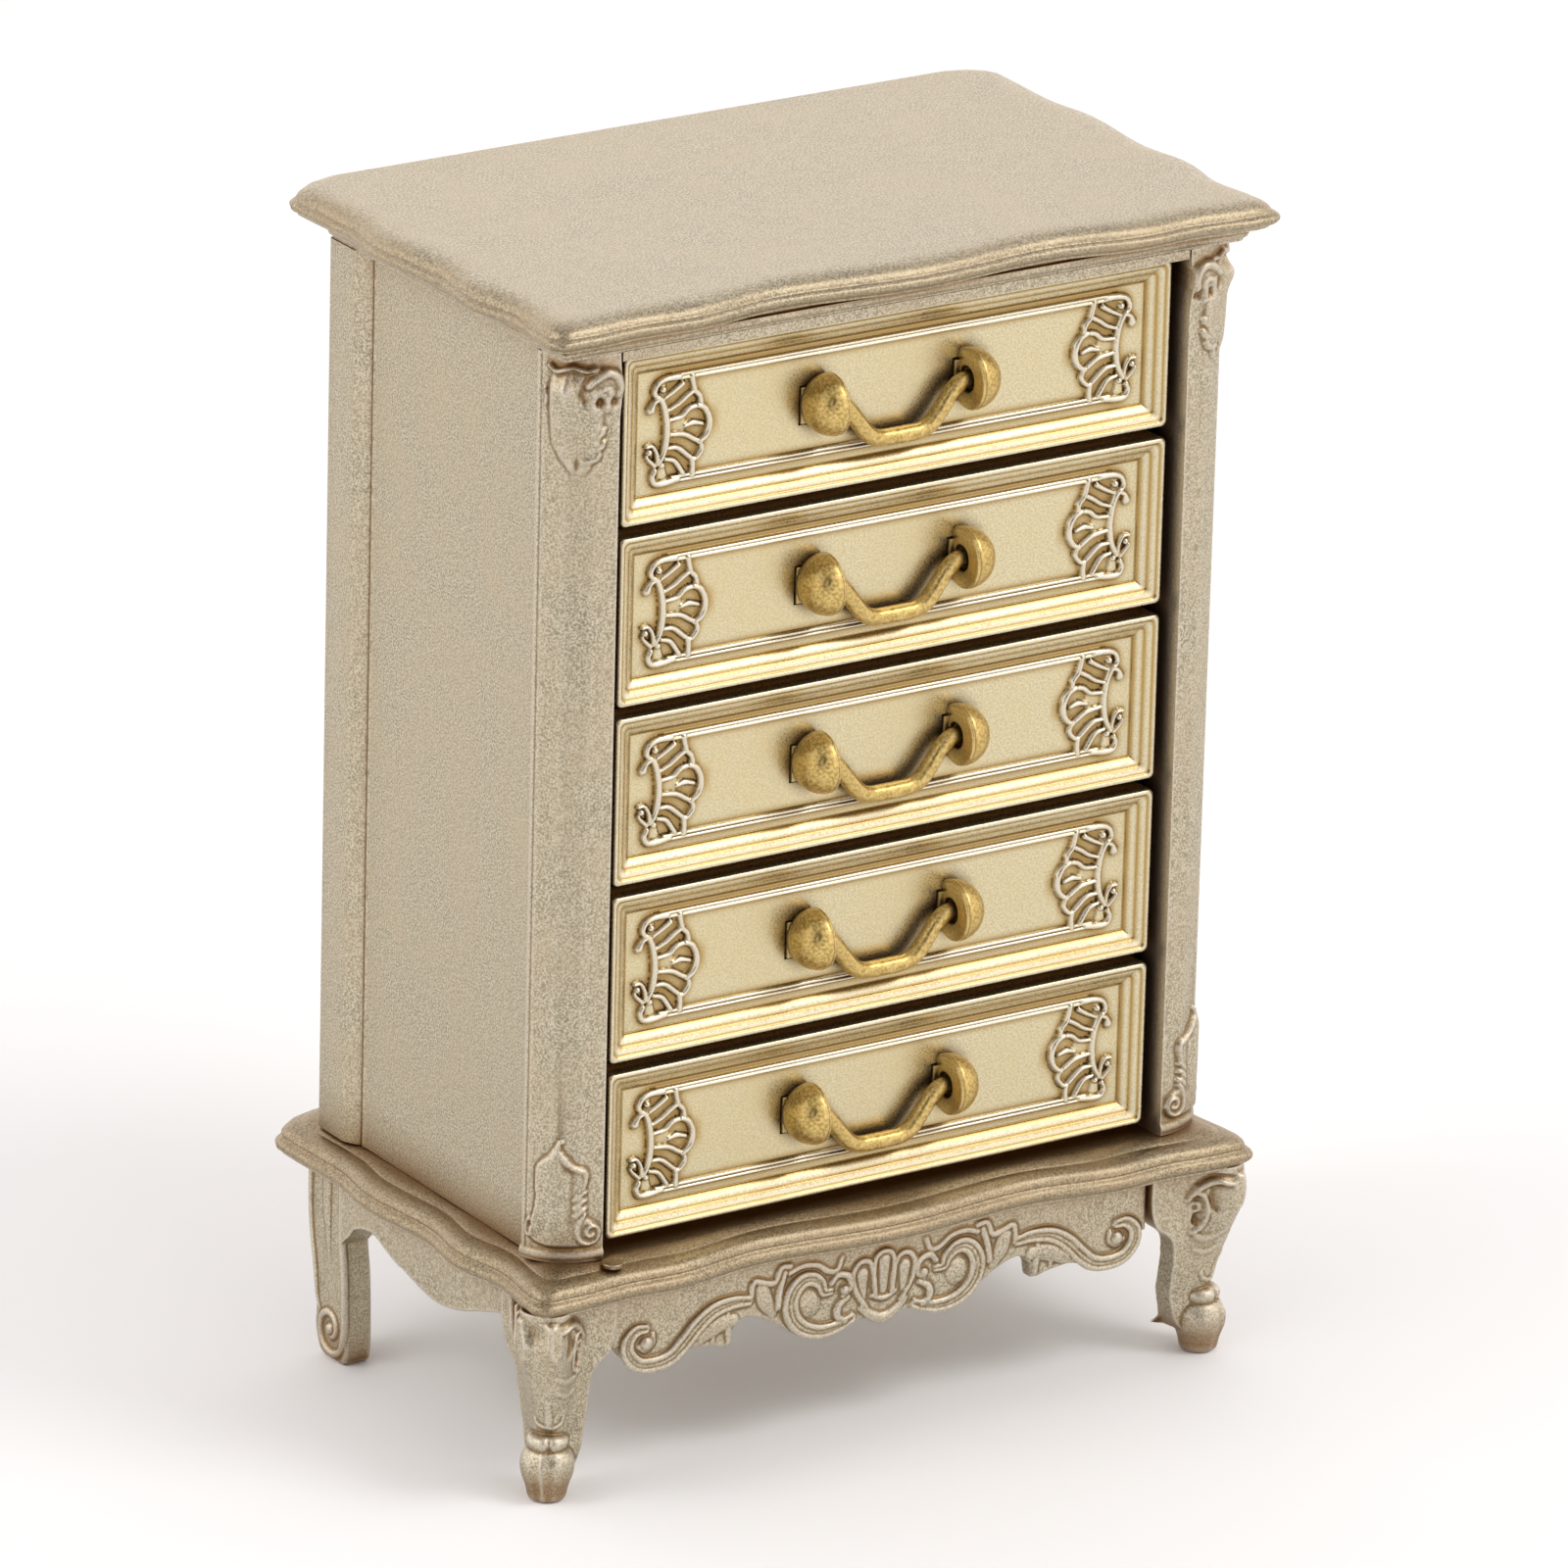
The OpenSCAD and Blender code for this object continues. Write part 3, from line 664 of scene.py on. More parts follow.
def build_posts():
    width, plinth = 5.9, 1.15
    depth = CASE_FRONT - (POST_BACK + 0.4)
    centre = (HALF_W - width, POST_BACK + 0.4)
    s_lines = lines((0, POST_SKIN, 0.11))
    low, high = BASE_TOP + 12, CASE_TOP - 12
    z_lines = np.round(lines((BASE_TOP, low, 0.11), (low, high, 6), (high, CASE_TOP, 0.11)), 4)
    s, z = np.meshgrid(s_lines, z_lines)
    h = post_reeds(np.zeros(s.shape), s)
    h = post_top_leaf(h, s, z - CASE_TOP)
    h = settle(post_shield(h, s, z - BASE_TOP), 4)
    foot = np.clip((BASE_TOP + plinth - z) / 0.25, 0, 1)
    h = h * (1 - foot) + foot * (0.12 + 0.12 * np.exp(-((z - BASE_TOP - 0.55) / 0.4) ** 2))
    angle = np.radians(4 + 86 * s / POST_SKIN)
    normal = np.stack([np.cos(angle) / width, np.sin(angle) / depth], -1)
    normal[..., 1] = -np.abs(normal[..., 1])
    normal = unit(normal)
    x = centre[0] + width * np.cos(angle) + h * normal[..., 0]
    y = centre[1] + depth * np.sin(angle) + h * normal[..., 1]
    skin = np.stack([x, y, z], -1)
    ends = [(POST_INNER, CASE_FRONT + 0.35), (POST_INNER, POST_BACK), (HALF_W - 1.4, POST_BACK)]
    back = np.array([[(*p, up) for p in ends] for up in z_lines])
    both_sides("front_{}_post_carved", "front_{}_post", [loft(np.concatenate([skin, back], 1))],
               crease=50, crests=PAINT_CRESTS)


# ---- Legs and aprons ----

def leg_carving(s, z):
    """Heights of the leaf carved on a cabriole leg. s is the distance from the corner ridge,
    negative on the front face."""
    h = np.zeros(s.shape)
    s = np.where(s < 0, s / (1 - 0.32 * np.clip((z - 9) / 4, 0, 1)), s)
    return carved(h, s, z, [
        (groove, [(-2.3, 17.2), (-2.5, 16.2), (-2.2, 15)], [1.5, 1.5, 1], 0.65),
        *((strip, [(top, 18.1), ((top + foot) / 2, 16.8), (foot, 14.4)], [0.7, 1.0, 0.2], 0.75)
          for top, foot in ((5.2, 4.9), (4, 3.3), (2.4, 2), (0.9, 0.6), (-0.5, -0.7))),
        *((dab, (across, 17.4), (0.35, 1.3), -0.5) for across in (4.55, 3.1, 1.65, 0.2)),
        (groove, [(-0.9, 18.2), (-2.8, 18.35), (-4.6, 17.4)], [0.3, 0.4, 0.3], 0.35),
        (strip, [(-1.3, 17.5), (-2.5, 17.8), (-3.7, 17.4), (-4.9, 16.6), (-5.5, 15.8)],
         [0.5, 0.8, 0.8, 0.4], 0.5),
        (groove, [(-4.6, 15.9), (-4.4, 15), (-4.3, 13.7)], [1.2, 1.1, 0.9], 0.35),
        (strip, [(-5.4, 16), (-4.5, 16.5), (-3.7, 16.1), (-3.35, 15.1), (-3.4, 13.9), (-3.9, 12.9),
                 (-4.7, 12.5)], [0.35, 0.5, 0.5, 0.45, 0.35], 0.42),
        (strip, [(-5, 15.4), (-4.4, 15.5), (-4.2, 14.9), (-4.7, 14.6)], [0.3, 0.4, 0.35], 0.3, -0.1),
        (dab, (-4.3, 13.6), (0.5, 0.5), -0.4),
        (strip, [(-0.9, 12.6), (-2.2, 11.9), (-3.5, 12), (-4.5, 12.6)], [0.5, 0.8, 0.4], 0.16),
        (strip, [(-0.8, 11), (-2, 10.4), (-3.2, 10.7)], [0.4, 0.7, 0.4], 0.14),
        (strip, [(-0.2, 10.2), (-0.2, 7.5)], [0.3, 0.45], 0.2),
        (strip, [(-1.5, 8.2), (-1.1, 7.5), (-0.3, 7.15), (0.5, 7.5), (0.8, 8.1)],
         [0.25, 0.4, 0.25], 0.24)])


def build_front_legs():
    axis = np.array([HALF_W - 0.6, CASE_FRONT + 0.15])
    levels = [2.2, 3.2, 4.5, 5.6, 6.3, 7, 8, 9, 10, 11.6, 12.5, 13.5, 15.5, LEG_TOP + 0.3]
    flange = [-0.4, 0.1, 0.35, 0.35, 0.4, 0.55, 0.7, 0.85, 1.0, 1.1, 1.15, 1.15, 1.15, 1.15]
    ridge = [0.6, 0.9, 1.0, 0.85, 0.8, 1.0, 1.25, 1.5, 1.9, 2.5, 2.8, 3.2, 3.85, 3.75]
    reach = [2.0, 2.8, 3.3, 3.5, 3.6, 3.65, 3.65, 3.65, 3.7, 3.9, 4.6, 5.8, 6.4, 6.4]
    thick, turn, swell = 2.2, 0.5, 2.6
    z_lines = lines((2.2, LEG_TOP + 0.3, 0.12))
    smooth = lambda values: np.interp(z_lines, *np.array(spline(np.column_stack([levels, values]), 8)).T)
    face, diagonal, inward = smooth(flange)[:, None], smooth(ridge)[:, None], smooth(reach)[:, None]
    share = np.linspace(-1, 1, 110)[None, :]
    s = share * (face + inward)
    root = np.sqrt(s ** 2 + 4 * turn ** 2)
    normal = unit(np.stack([1 + s / root, 1 - s / root], -1))
    bulge = (diagonal - math.sqrt(2) * (face - turn)) * np.exp(-(s / swell) ** 2)
    z = np.repeat(z_lines[:, None], s.shape[1], 1)
    lift = np.clip((z - 6.2) / 1.2, 0, 1)
    rise = bulge + settle(leg_carving(s, z), 3) * lift
    outer = np.stack([face - (root - s) / 2, face - (root + s) / 2], -1) + rise[..., None] * normal
    room = np.abs(CAD_BOX[1][:2]) / MM - np.abs(axis) - 0.05
    outer = np.minimum(outer, room)
    inner_s = np.linspace(1, -1, 24)[None, :] * (face - thick + inward)
    inner_root = np.sqrt(inner_s ** 2 + 4 * turn ** 2)
    inner = np.stack([face - thick - (inner_root - inner_s) / 2,
                      face - thick - (inner_root + inner_s) / 2], -1)
    flat = np.concatenate([outer, inner], 1)
    ring_z = np.repeat(z_lines[:, None], flat.shape[1], 1)
    shell = loft(np.stack([axis[0] + flat[..., 0], axis[1] - flat[..., 1], ring_z], -1))

    def toes(angle, height):
        """A ridge on the outer corner with a hollow on each side, and a dent in the ankle's bead."""
        away = (angle + math.pi / 4 + math.pi) % (2 * math.pi) - math.pi
        lobes = 0.035 * np.exp(-(away / 0.1) ** 2) - 0.045 * np.exp(-((np.abs(away) - 0.33) / 0.2) ** 2)
        dent = -0.16 * np.exp(-((away + 0.3) / 0.2) ** 2)
        return 1 + np.where(height < 5, lobes, dent)

    place = lambda p: p + (*axis, 0)
    profile = spline([(0.3, 0.02), (1.2, 0), (1.6, 0.12), (1.8, 0.45), (1.9, 1), (2.1, 1.7), (2.38, 2.5),
        (2.5, 3.35), (2.4, 4.1), (2.08, 4.7), (1.76, 5.02), (1.84, 5.35), (1.92, 5.7), (1.8, 6.05),
        (1.4, 6.35), (0.3, 6.6)], 3)
    both_sides("leg_front_{}_carved", "leg_front_{}", [shell, revolve(profile, 56, place, toes)], carve)


def side_rod(x, path, widths, flat=1.0):
    """Rod along a path of (y, z) on a side face."""
    outward = (1, 0, 0)
    return tube([(x, y, z) for y, z in path], widths, outward, flat)


def build_back_legs():
    """The paths are measured along Y from the back of the case, where the heel stands."""
    low, high = box("leg_back_right")
    face = high[0]
    heel = (CASE_BACK, 0)
    front = [(-5.1, 0.25), (-5.4, 1.6), (-5.35, 5.6), (-5.1, 9.4), (-4.7, 12.2), (-4.7, LEG_TOP)]
    rear = [(1.25, LEG_TOP), (1.35, 15.5), (1.1, 12), (0.4, 8.5), (-0.05, 5.5), (0.1, 2.6), (-0.6, 0.6),
        (-1.4, 0)]
    sole = [(-3.2, 0), (-4.6, 0)]
    outline = np.vstack([spline(np.add(rear, heel), 5), np.add(sole, heel),
                         spline(np.add(front, heel), 4)])
    edge = [(-4.4, LEG_TOP - 0.1), (-4.45, 15), (-4.5, 12.2), (-4.9, 9.4), (-5.1, 5.6), (-5.1, 3.2),
        (-4.6, 1.4), (-3.3, 0.7), (-1.9, 1), (-1.1, 2.2), (-1.3, 3.8), (-2.5, 4.6), (-3.6, 4.1),
        (-3.8, 3), (-3.1, 2.3), (-2.5, 2.8)]
    back = [(1, LEG_TOP - 0.1), (1.05, 15.4), (0.8, 12), (0.1, 8.5), (-0.35, 5.6), (-0.8, 4.4)]
    knee = [(-1.9, LEG_TOP - 0.4), (-1.9, 15), (-2.2, 11.5), (-2.6, 8.4)]
    both_sides("leg_back_{}_carved", "leg_back_{}", [
        slab(outline, sideways, low[0], face - 0.35, 0.3),
        side_rod(face - 0.42, np.add(edge, heel), [0.7, 0.7, 0.75, 0.8, 0.8, 0.7, 0.6]),
        ball((face - 0.45, CASE_BACK - 2.8, 3.0), 0.62, (0.9, 1, 1)),
        side_rod(face - 0.42, np.add(back, heel), [0.7, 0.65, 0.6, 0.4]),
        side_rod(face - 0.45, np.add(knee, heel), [1.6, 1.4, 0.9, 0.3], 0.5)], carve)


def build_side_aprons():
    low, high = box("right_apron")
    front, arch = low[1], high[1]
    edge = [(0, 15.5), (1.2, 15.35), (4.2, 14.4), (8, 13.1), (11.5, 12.5), (14.8, 12.9), (19.5, 14.1),
        (22.5, 15.2), (24.5, 15.2), (26.4, 14.5)]
    edge = [*np.add(edge, (front, 0)), (arch - 1.2, 13.2), (arch, 12.0)]
    outline = np.vstack([spline(edge, 4), [(arch, LEG_TOP), (front, LEG_TOP)]])
    rim = side_rod(high[0] - 0.12, np.add(edge[1:-1], (0, 0.32)), [0.5, 0.5], 0.6)
    both_sides("{}_apron_shaped", "{}_apron", [slab(outline, sideways, low[0], high[0], 0.3), rim],
               carve, voxel=0.12)


def build_back_apron():
    low, high = box("back_apron")
    half = high[0]
    edge = [(half * t, 14.2 + 1.2 * math.cos(2 * math.pi * t)) for t in np.linspace(-1, 1, 49)]
    outline = np.vstack([edge, [(half, LEG_TOP), (-half, LEG_TOP)]])
    carcass("back_apron_shaped", "back_apron", [slab(outline, upright, low[1], high[1], 0.2)])


def face_rod(y, path, widths, flat=1.0):
    """Rod along a path of (x, z) on a front face."""
    return tube([(x, y, z) for x, z in path], widths, flat=flat)


def sunk_band(path, widths, out):
    """Carved band with a raised rim along each side of it. path holds (x, y, z) points."""
    centre = np.asarray(path, float)
    across = unit(np.cross(np.gradient(centre, axis=0), (0, -1, 0)))
    reach = taper(widths, np.linspace(0, 1, len(centre)))[:, None]
    rim = [min(0.75, width * 0.52) for width in widths]
    raised = (0, -out, 0)
    return [tube(centre, widths, flat=0.55), tube(centre + across * reach * 0.75 + raised, rim),
            tube(centre - across * reach * 0.75 + raised, rim)]


def apron_scrolls(face):
    """The left half of the carving on the front apron, as rods, bands and bosses."""
    rod = lambda path, widths, flat: face_rod(face, path, np.array(widths) * 1.3, flat)
    boss = lambda x, z, size, out=0.0, flat=0.8: ball((x, face - out, z), size, (1, flat, 1))
    band = lambda path, widths: sunk_band([(x, face, z) for x, z in path], widths, 0.1)
    shells = [
        boss(-25.6, 13.2, 0.7, 0.05),
        rod([(-24.9, 13.9), (-24.9, 13), (-25.7, 12.5), (-26.4, 13)], [0.4, 0.45, 0.4], 0.9),
        # Leaf below the long scroll
        rod([(-21.9, 11.9), (-20, 12.7), (-18.2, 13.4), (-16.3, 13.5)], [0.8, 1.5, 1.6, 1], 0.4),
        rod([(-20.8, 13.7), (-21, 12.6), (-21.4, 11.9)], [0.4, 0.5, 0.3], 0.7),
        rod([(-18.6, 14.6), (-18.4, 13), (-18.4, 11.8)], [0.4, 0.55, 0.3], 0.7),
        rod([(-16.9, 14.6), (-16.8, 12.9), (-16.7, 11.4)], [0.4, 0.6, 0.35], 0.7),
        # Stepped block
        rod([(-14.4, 15.4), (-14.1, 16.8), (-12.7, 16.4), (-11.8, 16.4), (-11.2, 17.6), (-10.2, 17.6)],
            [0.5, 0.55, 0.5], 0.8),
        rod([(-13.2, 15.9), (-12.8, 14.6), (-12, 13.4)], [1.2, 1.3, 0.8], 0.4),
        rod([(-10.8, 17), (-11.3, 15.4), (-11.5, 13.9)], [0.5, 0.6, 0.7], 0.8),
        # Rod over the big scroll
        rod([(-10.2, 16.9), (-8.9, 17.3), (-7.3, 17.1), (-6.1, 16.3), (-5.1, 16.2), (-4.6, 17.3)],
            [0.45, 0.5, 0.45], 0.7),
        boss(-8.1, 13.4, 1.6, -0.3, 0.35),
        # Boss with a pierced eye
        rod([(-5.7, 15), (-5, 15.7), (-3.9, 15.4), (-3.6, 14.3), (-4.4, 13.6)], [0.5, 0.65, 0.5], 0.9),
        boss(-4.3, 14.1, 0.5, 0.1),
        rod([(-3.9, 13.3), (-4.9, 12.6), (-5, 11.6), (-4.2, 11)], [0.5, 0.7, 0.6], 0.9),
        # Fan
        rod([(-1.9, 11.9), (-3, 13.6), (-3.4, 15.3), (-2.7, 16.4), (-1.6, 16.3), (-1.1, 15),
             (-0.9, 13.2)], [0.45, 0.5, 0.5, 0.45], 0.9),
        rod([(-2.2, 12.9), (-2.3, 15.2)], [0.5, 1], 0.45),
    ]
    # Long scroll that ends in the outer curl, and the big C scroll
    shells += band([(-14.5, 15.1), (-16.2, 15.3), (-18.3, 15), (-20.1, 13.9), (-21.6, 12.4), (-23, 11.3),
        (-24.7, 10.95), (-26.4, 11.25), (-27.5, 12.4), (-27.6, 13.7), (-26.7, 14.6), (-25.5, 14.6)],
        [0.8, 1.2, 1.4, 1.35, 1.2, 1.2, 1.1, 0.7])
    shells += band([(-5.6, 14.2), (-6.5, 14.3), (-6.9, 15.2), (-7.8, 15.9), (-8.9, 15.9), (-9.8, 15.1),
        (-10.2, 13.8), (-9.8, 12.3), (-8.6, 11.1), (-6.8, 10.5), (-4.9, 10.65), (-3.3, 11.2)],
        [0.5, 0.9, 1.2, 1.35, 1.4, 1.3, 1.1, 0.8])
    return shells


def build_front_apron():
    end, back, _ = box("front_apron")[1]
    face = CASE_FRONT - 0.25
    half = [(end, LEG_TOP), (end, 13.2), (28.6, 13.2), (27.9, 12), (27, 11.2), (25.4, 10.6), (23.9, 10.7),
        (22.6, 11.3), (21.4, 11.6), (19.9, 11.5), (18.4, 11.3), (17, 10.95), (16.4, 11), (16.2, 12.4),
        (15.6, 13.2), (14.8, 13.4), (13.8, 13.2), (12.4, 12.6), (10.8, 11.6), (9, 10.3), (7.4, 9.75),
        (5.6, 9.8), (4, 10.3), (2.6, 10.7), (1.5, 10.5), (0.8, 10), (0, 9.7)]
    half = np.array(half)
    outline = np.vstack([half, half[-2::-1] * (-1, 1)])
    scrolls = apron_scrolls(face)
    middle = [
        face_rod(face - 0.05, [(-0.9, 13), (-1.1, 15), (-0.9, 16.6), (0, 17.1), (0.9, 16.6),
                               (1.1, 15), (0.9, 13)], [0.55, 0.6, 0.55], 0.95),
        tube([(0, face, 13.2), (0, face - 0.1, 16.2)], [0.8, 1.3], flat=0.5),
        face_rod(face - 0.05, [(-1.3, 12.9), (0, 12.45), (1.3, 12.9)], [0.45, 0.55, 0.45], 0.9),
        face_rod(face, [(-2.3, 11.9), (-1.3, 11), (0, 10.5), (1.3, 11), (2.3, 11.9)],
                 [0.8, 1, 1.1, 1, 0.8], 0.6),
    ]
    shells = [slab(outline, upright, face, back, 0.35), *scrolls, *mirrored(scrolls), *middle]
    carcass("front_apron_carved", "front_apron", shells, carve)


# ---- Drawers ----

BEVEL_W, BEVEL_D = 2.3, 1.3
SOCKET_X, SOCKET_Z, SOCKET_D = (6.4, 9.9), 1.85, 1.35
RAIL_HIGH, RAIL_LOW = 4.93, -4.62


def shell_ornament(h, a, z):
    """Half shell with ribs and curls. a is the distance from the drawer front's outer edge."""
    strips = [
        # Spine, and the ends of the two rails that curl into it
        ([(4.25, 3.3), (4.67, 2.8), (5, 1.86), (5.22, 0.45), (5.15, -0.9), (4.89, -1.95), (4.4, -2.85)],
         [0.55, 0.6, 0.65, 0.62, 0.5], 0.5),
        ([(6.4, 4.93), (5, 4.9), (4.15, 4.55), (3.85, 3.8), (4.25, 3.2)], [0.6, 0.55, 0.5], 0.45),
        ([(6.4, -4.65), (5, -4.85), (4.1, -4.75), (3.75, -4.1), (4, -3.5)], [0.6, 0.6, 0.5], 0.45),
        ([(4.2, 3.1), (3.75, 2.85), (3.5, 2.25)], [0.45, 0.5, 0.8], 0.5),
        ([(4.3, -2.9), (4.2, -1.95), (3.75, -1.2), (3.1, -1.15)], [0.5, 0.4, 0.35], 0.42),
        ([(4, -3.05), (3.3, -2.35), (3.1, -2.05)], [0.45, 0.4, 0.3], 0.4),
        # Ribs
        ([(4.9, 3.15), (5.8, 3.6), (6.78, 4.2)], [0.4, 0.45, 0.5], 0.4),
        ([(5.3, 1.95), (6.3, 2.35), (7.1, 2.9), (7.8, 3.3)], [0.4, 0.45, 0.5], 0.42),
        ([(5.5, 1), (6.7, 1.15), (7.5, 1.75), (8.5, 1.95)], [0.4, 0.5, 0.5], 0.42),
        ([(7.1, 0.2), (8, 0.35), (8.9, 0.15)], [0.4, 0.5, 0.4], 0.36),
        ([(5.6, -0.36), (7.1, -0.6), (8.3, -1.3)], [0.45, 0.5, 0.5], 0.42),
        ([(5.3, -1.6), (6.4, -1.75), (7.7, -2.8)], [0.4, 0.5, 0.5], 0.42),
        ([(5.1, -2.6), (6.1, -2.95), (7, -4.2)], [0.4, 0.5, 0.5], 0.4),
        # Scalloped edge
        ([(7.75, 4.8), (7.95, 3.9), (8.15, 3.3), (8.65, 2.7), (8.75, 1.95)], [0.55, 0.5, 0.5], 0.45),
        ([(8.4, 1.95), (9.1, 1.6), (9.6, 0.8), (9.65, -0.2), (9.3, -1), (8.6, -1.5)],
         [0.5, 0.6, 0.6, 0.5], 0.5),
        ([(8.7, -1.45), (8.9, -2.2), (8.4, -2.9), (7.9, -3.1)], [0.45, 0.5, 0.45], 0.44),
        ([(7.95, -3), (8, -3.8), (7.95, -4.5)], [0.5, 0.5, 0.55], 0.44),
    ]
    return carved(h, a, z, [
        (field, [(5.3, 0.8), (7.2, 1.2), (7.6, 0.3), (7.2, -0.5), (5.4, -0.3)], 0.2, 0.5),
        (field, [(4.2, -3.3), (5.2, -3.1), (5.5, -4.2), (5.2, -4.8), (4.1, -4.5)], 0.26, 0.4),
        (field, [(4.3, 4.6), (5.2, 4.6), (5.3, 3.6), (4.9, 3.1), (4.3, 3.3)], 0.2, 0.35),
        *((strip, path, np.array(widths) * 1.4, rise * 1.15) for path, widths, rise in strips),
        *((strip, [(across - 0.01, up), (across, up), (across + 0.01, up)], [size], 0.5)
          for across, up, size in ((4.75, 3.95, 0.85), (3.42, -1.75, 0.8), (4.75, -3.15, 0.85)))])


def rails(h, x, z, end):
    """A pair of fine beads along the top and the bottom of the sunk panel."""
    for middle in (RAIL_HIGH, RAIL_LOW):
        for shift in (-0.19, 0.19):
            bead = 0.4 * np.clip(1 - ((z - middle - shift) / 0.24) ** 2, 0, None) ** 0.75
            h = np.where(np.abs(x) < end, np.maximum(h, bead), h)
    return h


def soft_blur(h, x, z, size):
    """Blurs heights over a grid with uneven lines."""
    def weights(p):
        w = np.exp(-((p[:, None] - p[None, :]) / size) ** 2) * np.gradient(p)[None, :]
        return w / w.sum(1)[:, None]
    return weights(z) @ h @ weights(x).T


def drawer_mesh():
    """Drawer front with a stepped bevel, rails, two shells and sockets for the knobs."""
    low, high = box("drawer_front_3")
    half_x, half_z = high[0], (high[2] - low[2]) / 2
    rim, back = low[1], high[1]
    middle = (low[2] + high[2]) / 2
    px, pz = half_x - BEVEL_W, half_z - BEVEL_W
    shell_end = half_x - 10.1
    start, end = SOCKET_X
    gap = 0.015
    half = np.concatenate([np.linspace(0.8, 5.6, 4), [start - gap, start, end, end + gap],
                           np.linspace(end + 0.6, shell_end - 1, 5), lines((shell_end, px, 0.085))])
    x_lines = np.append(-half[::-1], half)
    z_lines = np.unique(np.round(np.concatenate([
        lines((-pz, pz, 0.08)), [-SOCKET_Z - gap, -SOCKET_Z, SOCKET_Z, SOCKET_Z + gap]]), 5))
    x, z = np.meshgrid(x_lines, z_lines)
    h = rails(np.zeros(x.shape), x, z, px - 3.4)
    h = shell_ornament(h, half_x - np.abs(x), z)
    panel = h.copy()
    near, width = 1e-6, end - start
    hole = (np.abs(np.abs(x) - start - width / 2) < width / 2 + near) & (np.abs(z) < SOCKET_Z + near)
    h = np.where(hole, -SOCKET_D, h)
    h[[0, -1], :] = 0
    h[:, [0, -1]] = 0
    grid = np.stack([x, rim + BEVEL_D - h, z], -1)
    rows, columns = x.shape
    index = np.arange(rows * columns).reshape(rows, columns)
    quads = np.stack([index[:-1, :-1], index[:-1, 1:], index[1:, 1:], index[1:, :-1]], -1).reshape(-1, 4)
    border = np.concatenate([index[0, :-1], index[:-1, -1], index[-1, :0:-1], index[:0:-1, 0]])
    flat = grid.reshape(-1, 3)
    steps = spline([(2.3, 1.3), (2.2, 1.3), (2.12, 1.18), (1.98, 1.04), (1.8, 0.9), (1.6, 0.77),
        (1.42, 0.67), (1.33, 0.65), (1.26, 0.56), (1.1, 0.45), (0.9, 0.33), (0.72, 0.25), (0.6, 0.22),
        (0.5, 0.13), (0.42, 0.04), (0.3, 0), (0.16, 0.03), (0.05, 0.14), (0, 0.32)], 3)[1:]
    steps = np.vstack([steps, [0, (back - rim) - 0.15], [0.12, back - rim]])
    rings = []
    for shrink, depth in steps:
        hx, hz = half_x - shrink, half_z - shrink
        p = flat[border][:, [0, 2]] * (hx / px, hz / pz)
        radius = 0.55 * (1 - (shrink / BEVEL_W) ** 2)
        corner = np.sign(p) * (np.array([hx, hz]) - radius)
        off = p - corner
        out = (off * np.sign(p) > 0).all(1)
        size = np.maximum(np.linalg.norm(off, axis=1), 1e-9)
        p = np.where(out[:, None], corner + off * (radius / size)[:, None], p)
        rings.append(upright(level(p, rim + depth)))
    count = len(border)
    ring_index = np.vstack([border, np.arange(len(rings) * count).reshape(len(rings), count) + len(flat)])
    faces = quads.tolist() + bands(ring_index[:-1], ring_index[1:]) + [ring_index[-1].tolist()]
    points = np.vstack([flat, *rings]) + (0, 0, middle)
    mesh = make_mesh("drawer_front_carved", [(points, faces)], 55)
    # Marks for the paint: ridges of the carving get painted highlights, and its hollows get antiquing.
    blurred = soft_blur(panel, x_lines, z_lines, 0.55)
    panel_crest = np.clip((panel - blurred) * 3.2, -1, 1).ravel()
    # Along the stepped bevel: painted highlight stripes on its ridges and antiquing in its steps. The
    # front's sides, hidden in the gaps between drawers, are marked as full hollows, which paints shade on
    # them.
    bevel_highlights_antiquing_and_shade = np.interp(steps[:, 0], *np.array([(0, 0), (0.3, 0.35), (0.57, -0.6), (0.85, 0.35),
        (1.3, -0.6), (1.65, 0.35), (2.2, -0.9), (2.3, -0.5)]).T)
    bevel_highlights_antiquing_and_shade[steps[:, 1] > BEVEL_D] = -1
    write_crests(mesh, np.append(panel_crest, np.repeat(bevel_highlights_antiquing_and_shade, count)))
    return mesh


def tray_mesh():
    """Open drawer box with softened edges."""
    low, high = box("drawer_tray_3")
    wall, floor = 1.1, 1.1

    def ring(shrink, z, cut):
        x0, y0, x1, y1 = low[0] + shrink, low[1] + cut, high[0] - shrink, high[1] - shrink
        return [(x0, y0, z), (x1, y0, z), (x1, y1, z), (x0, y1, z)]

    rings = [ring(0.15, low[2], 0.05), ring(0, low[2] + 0.15, 0), ring(0, high[2] - 0.15, 0),
             ring(0.15, high[2], 0.05), ring(wall - 0.15, high[2], 0.9), ring(wall, high[2] - 0.15, 1.05),
             ring(wall, low[2] + floor + 0.5, 1.05), ring(wall + 0.5, low[2] + floor, 1.5)]
    return make_mesh("drawer_tray_box", [loft(rings)])


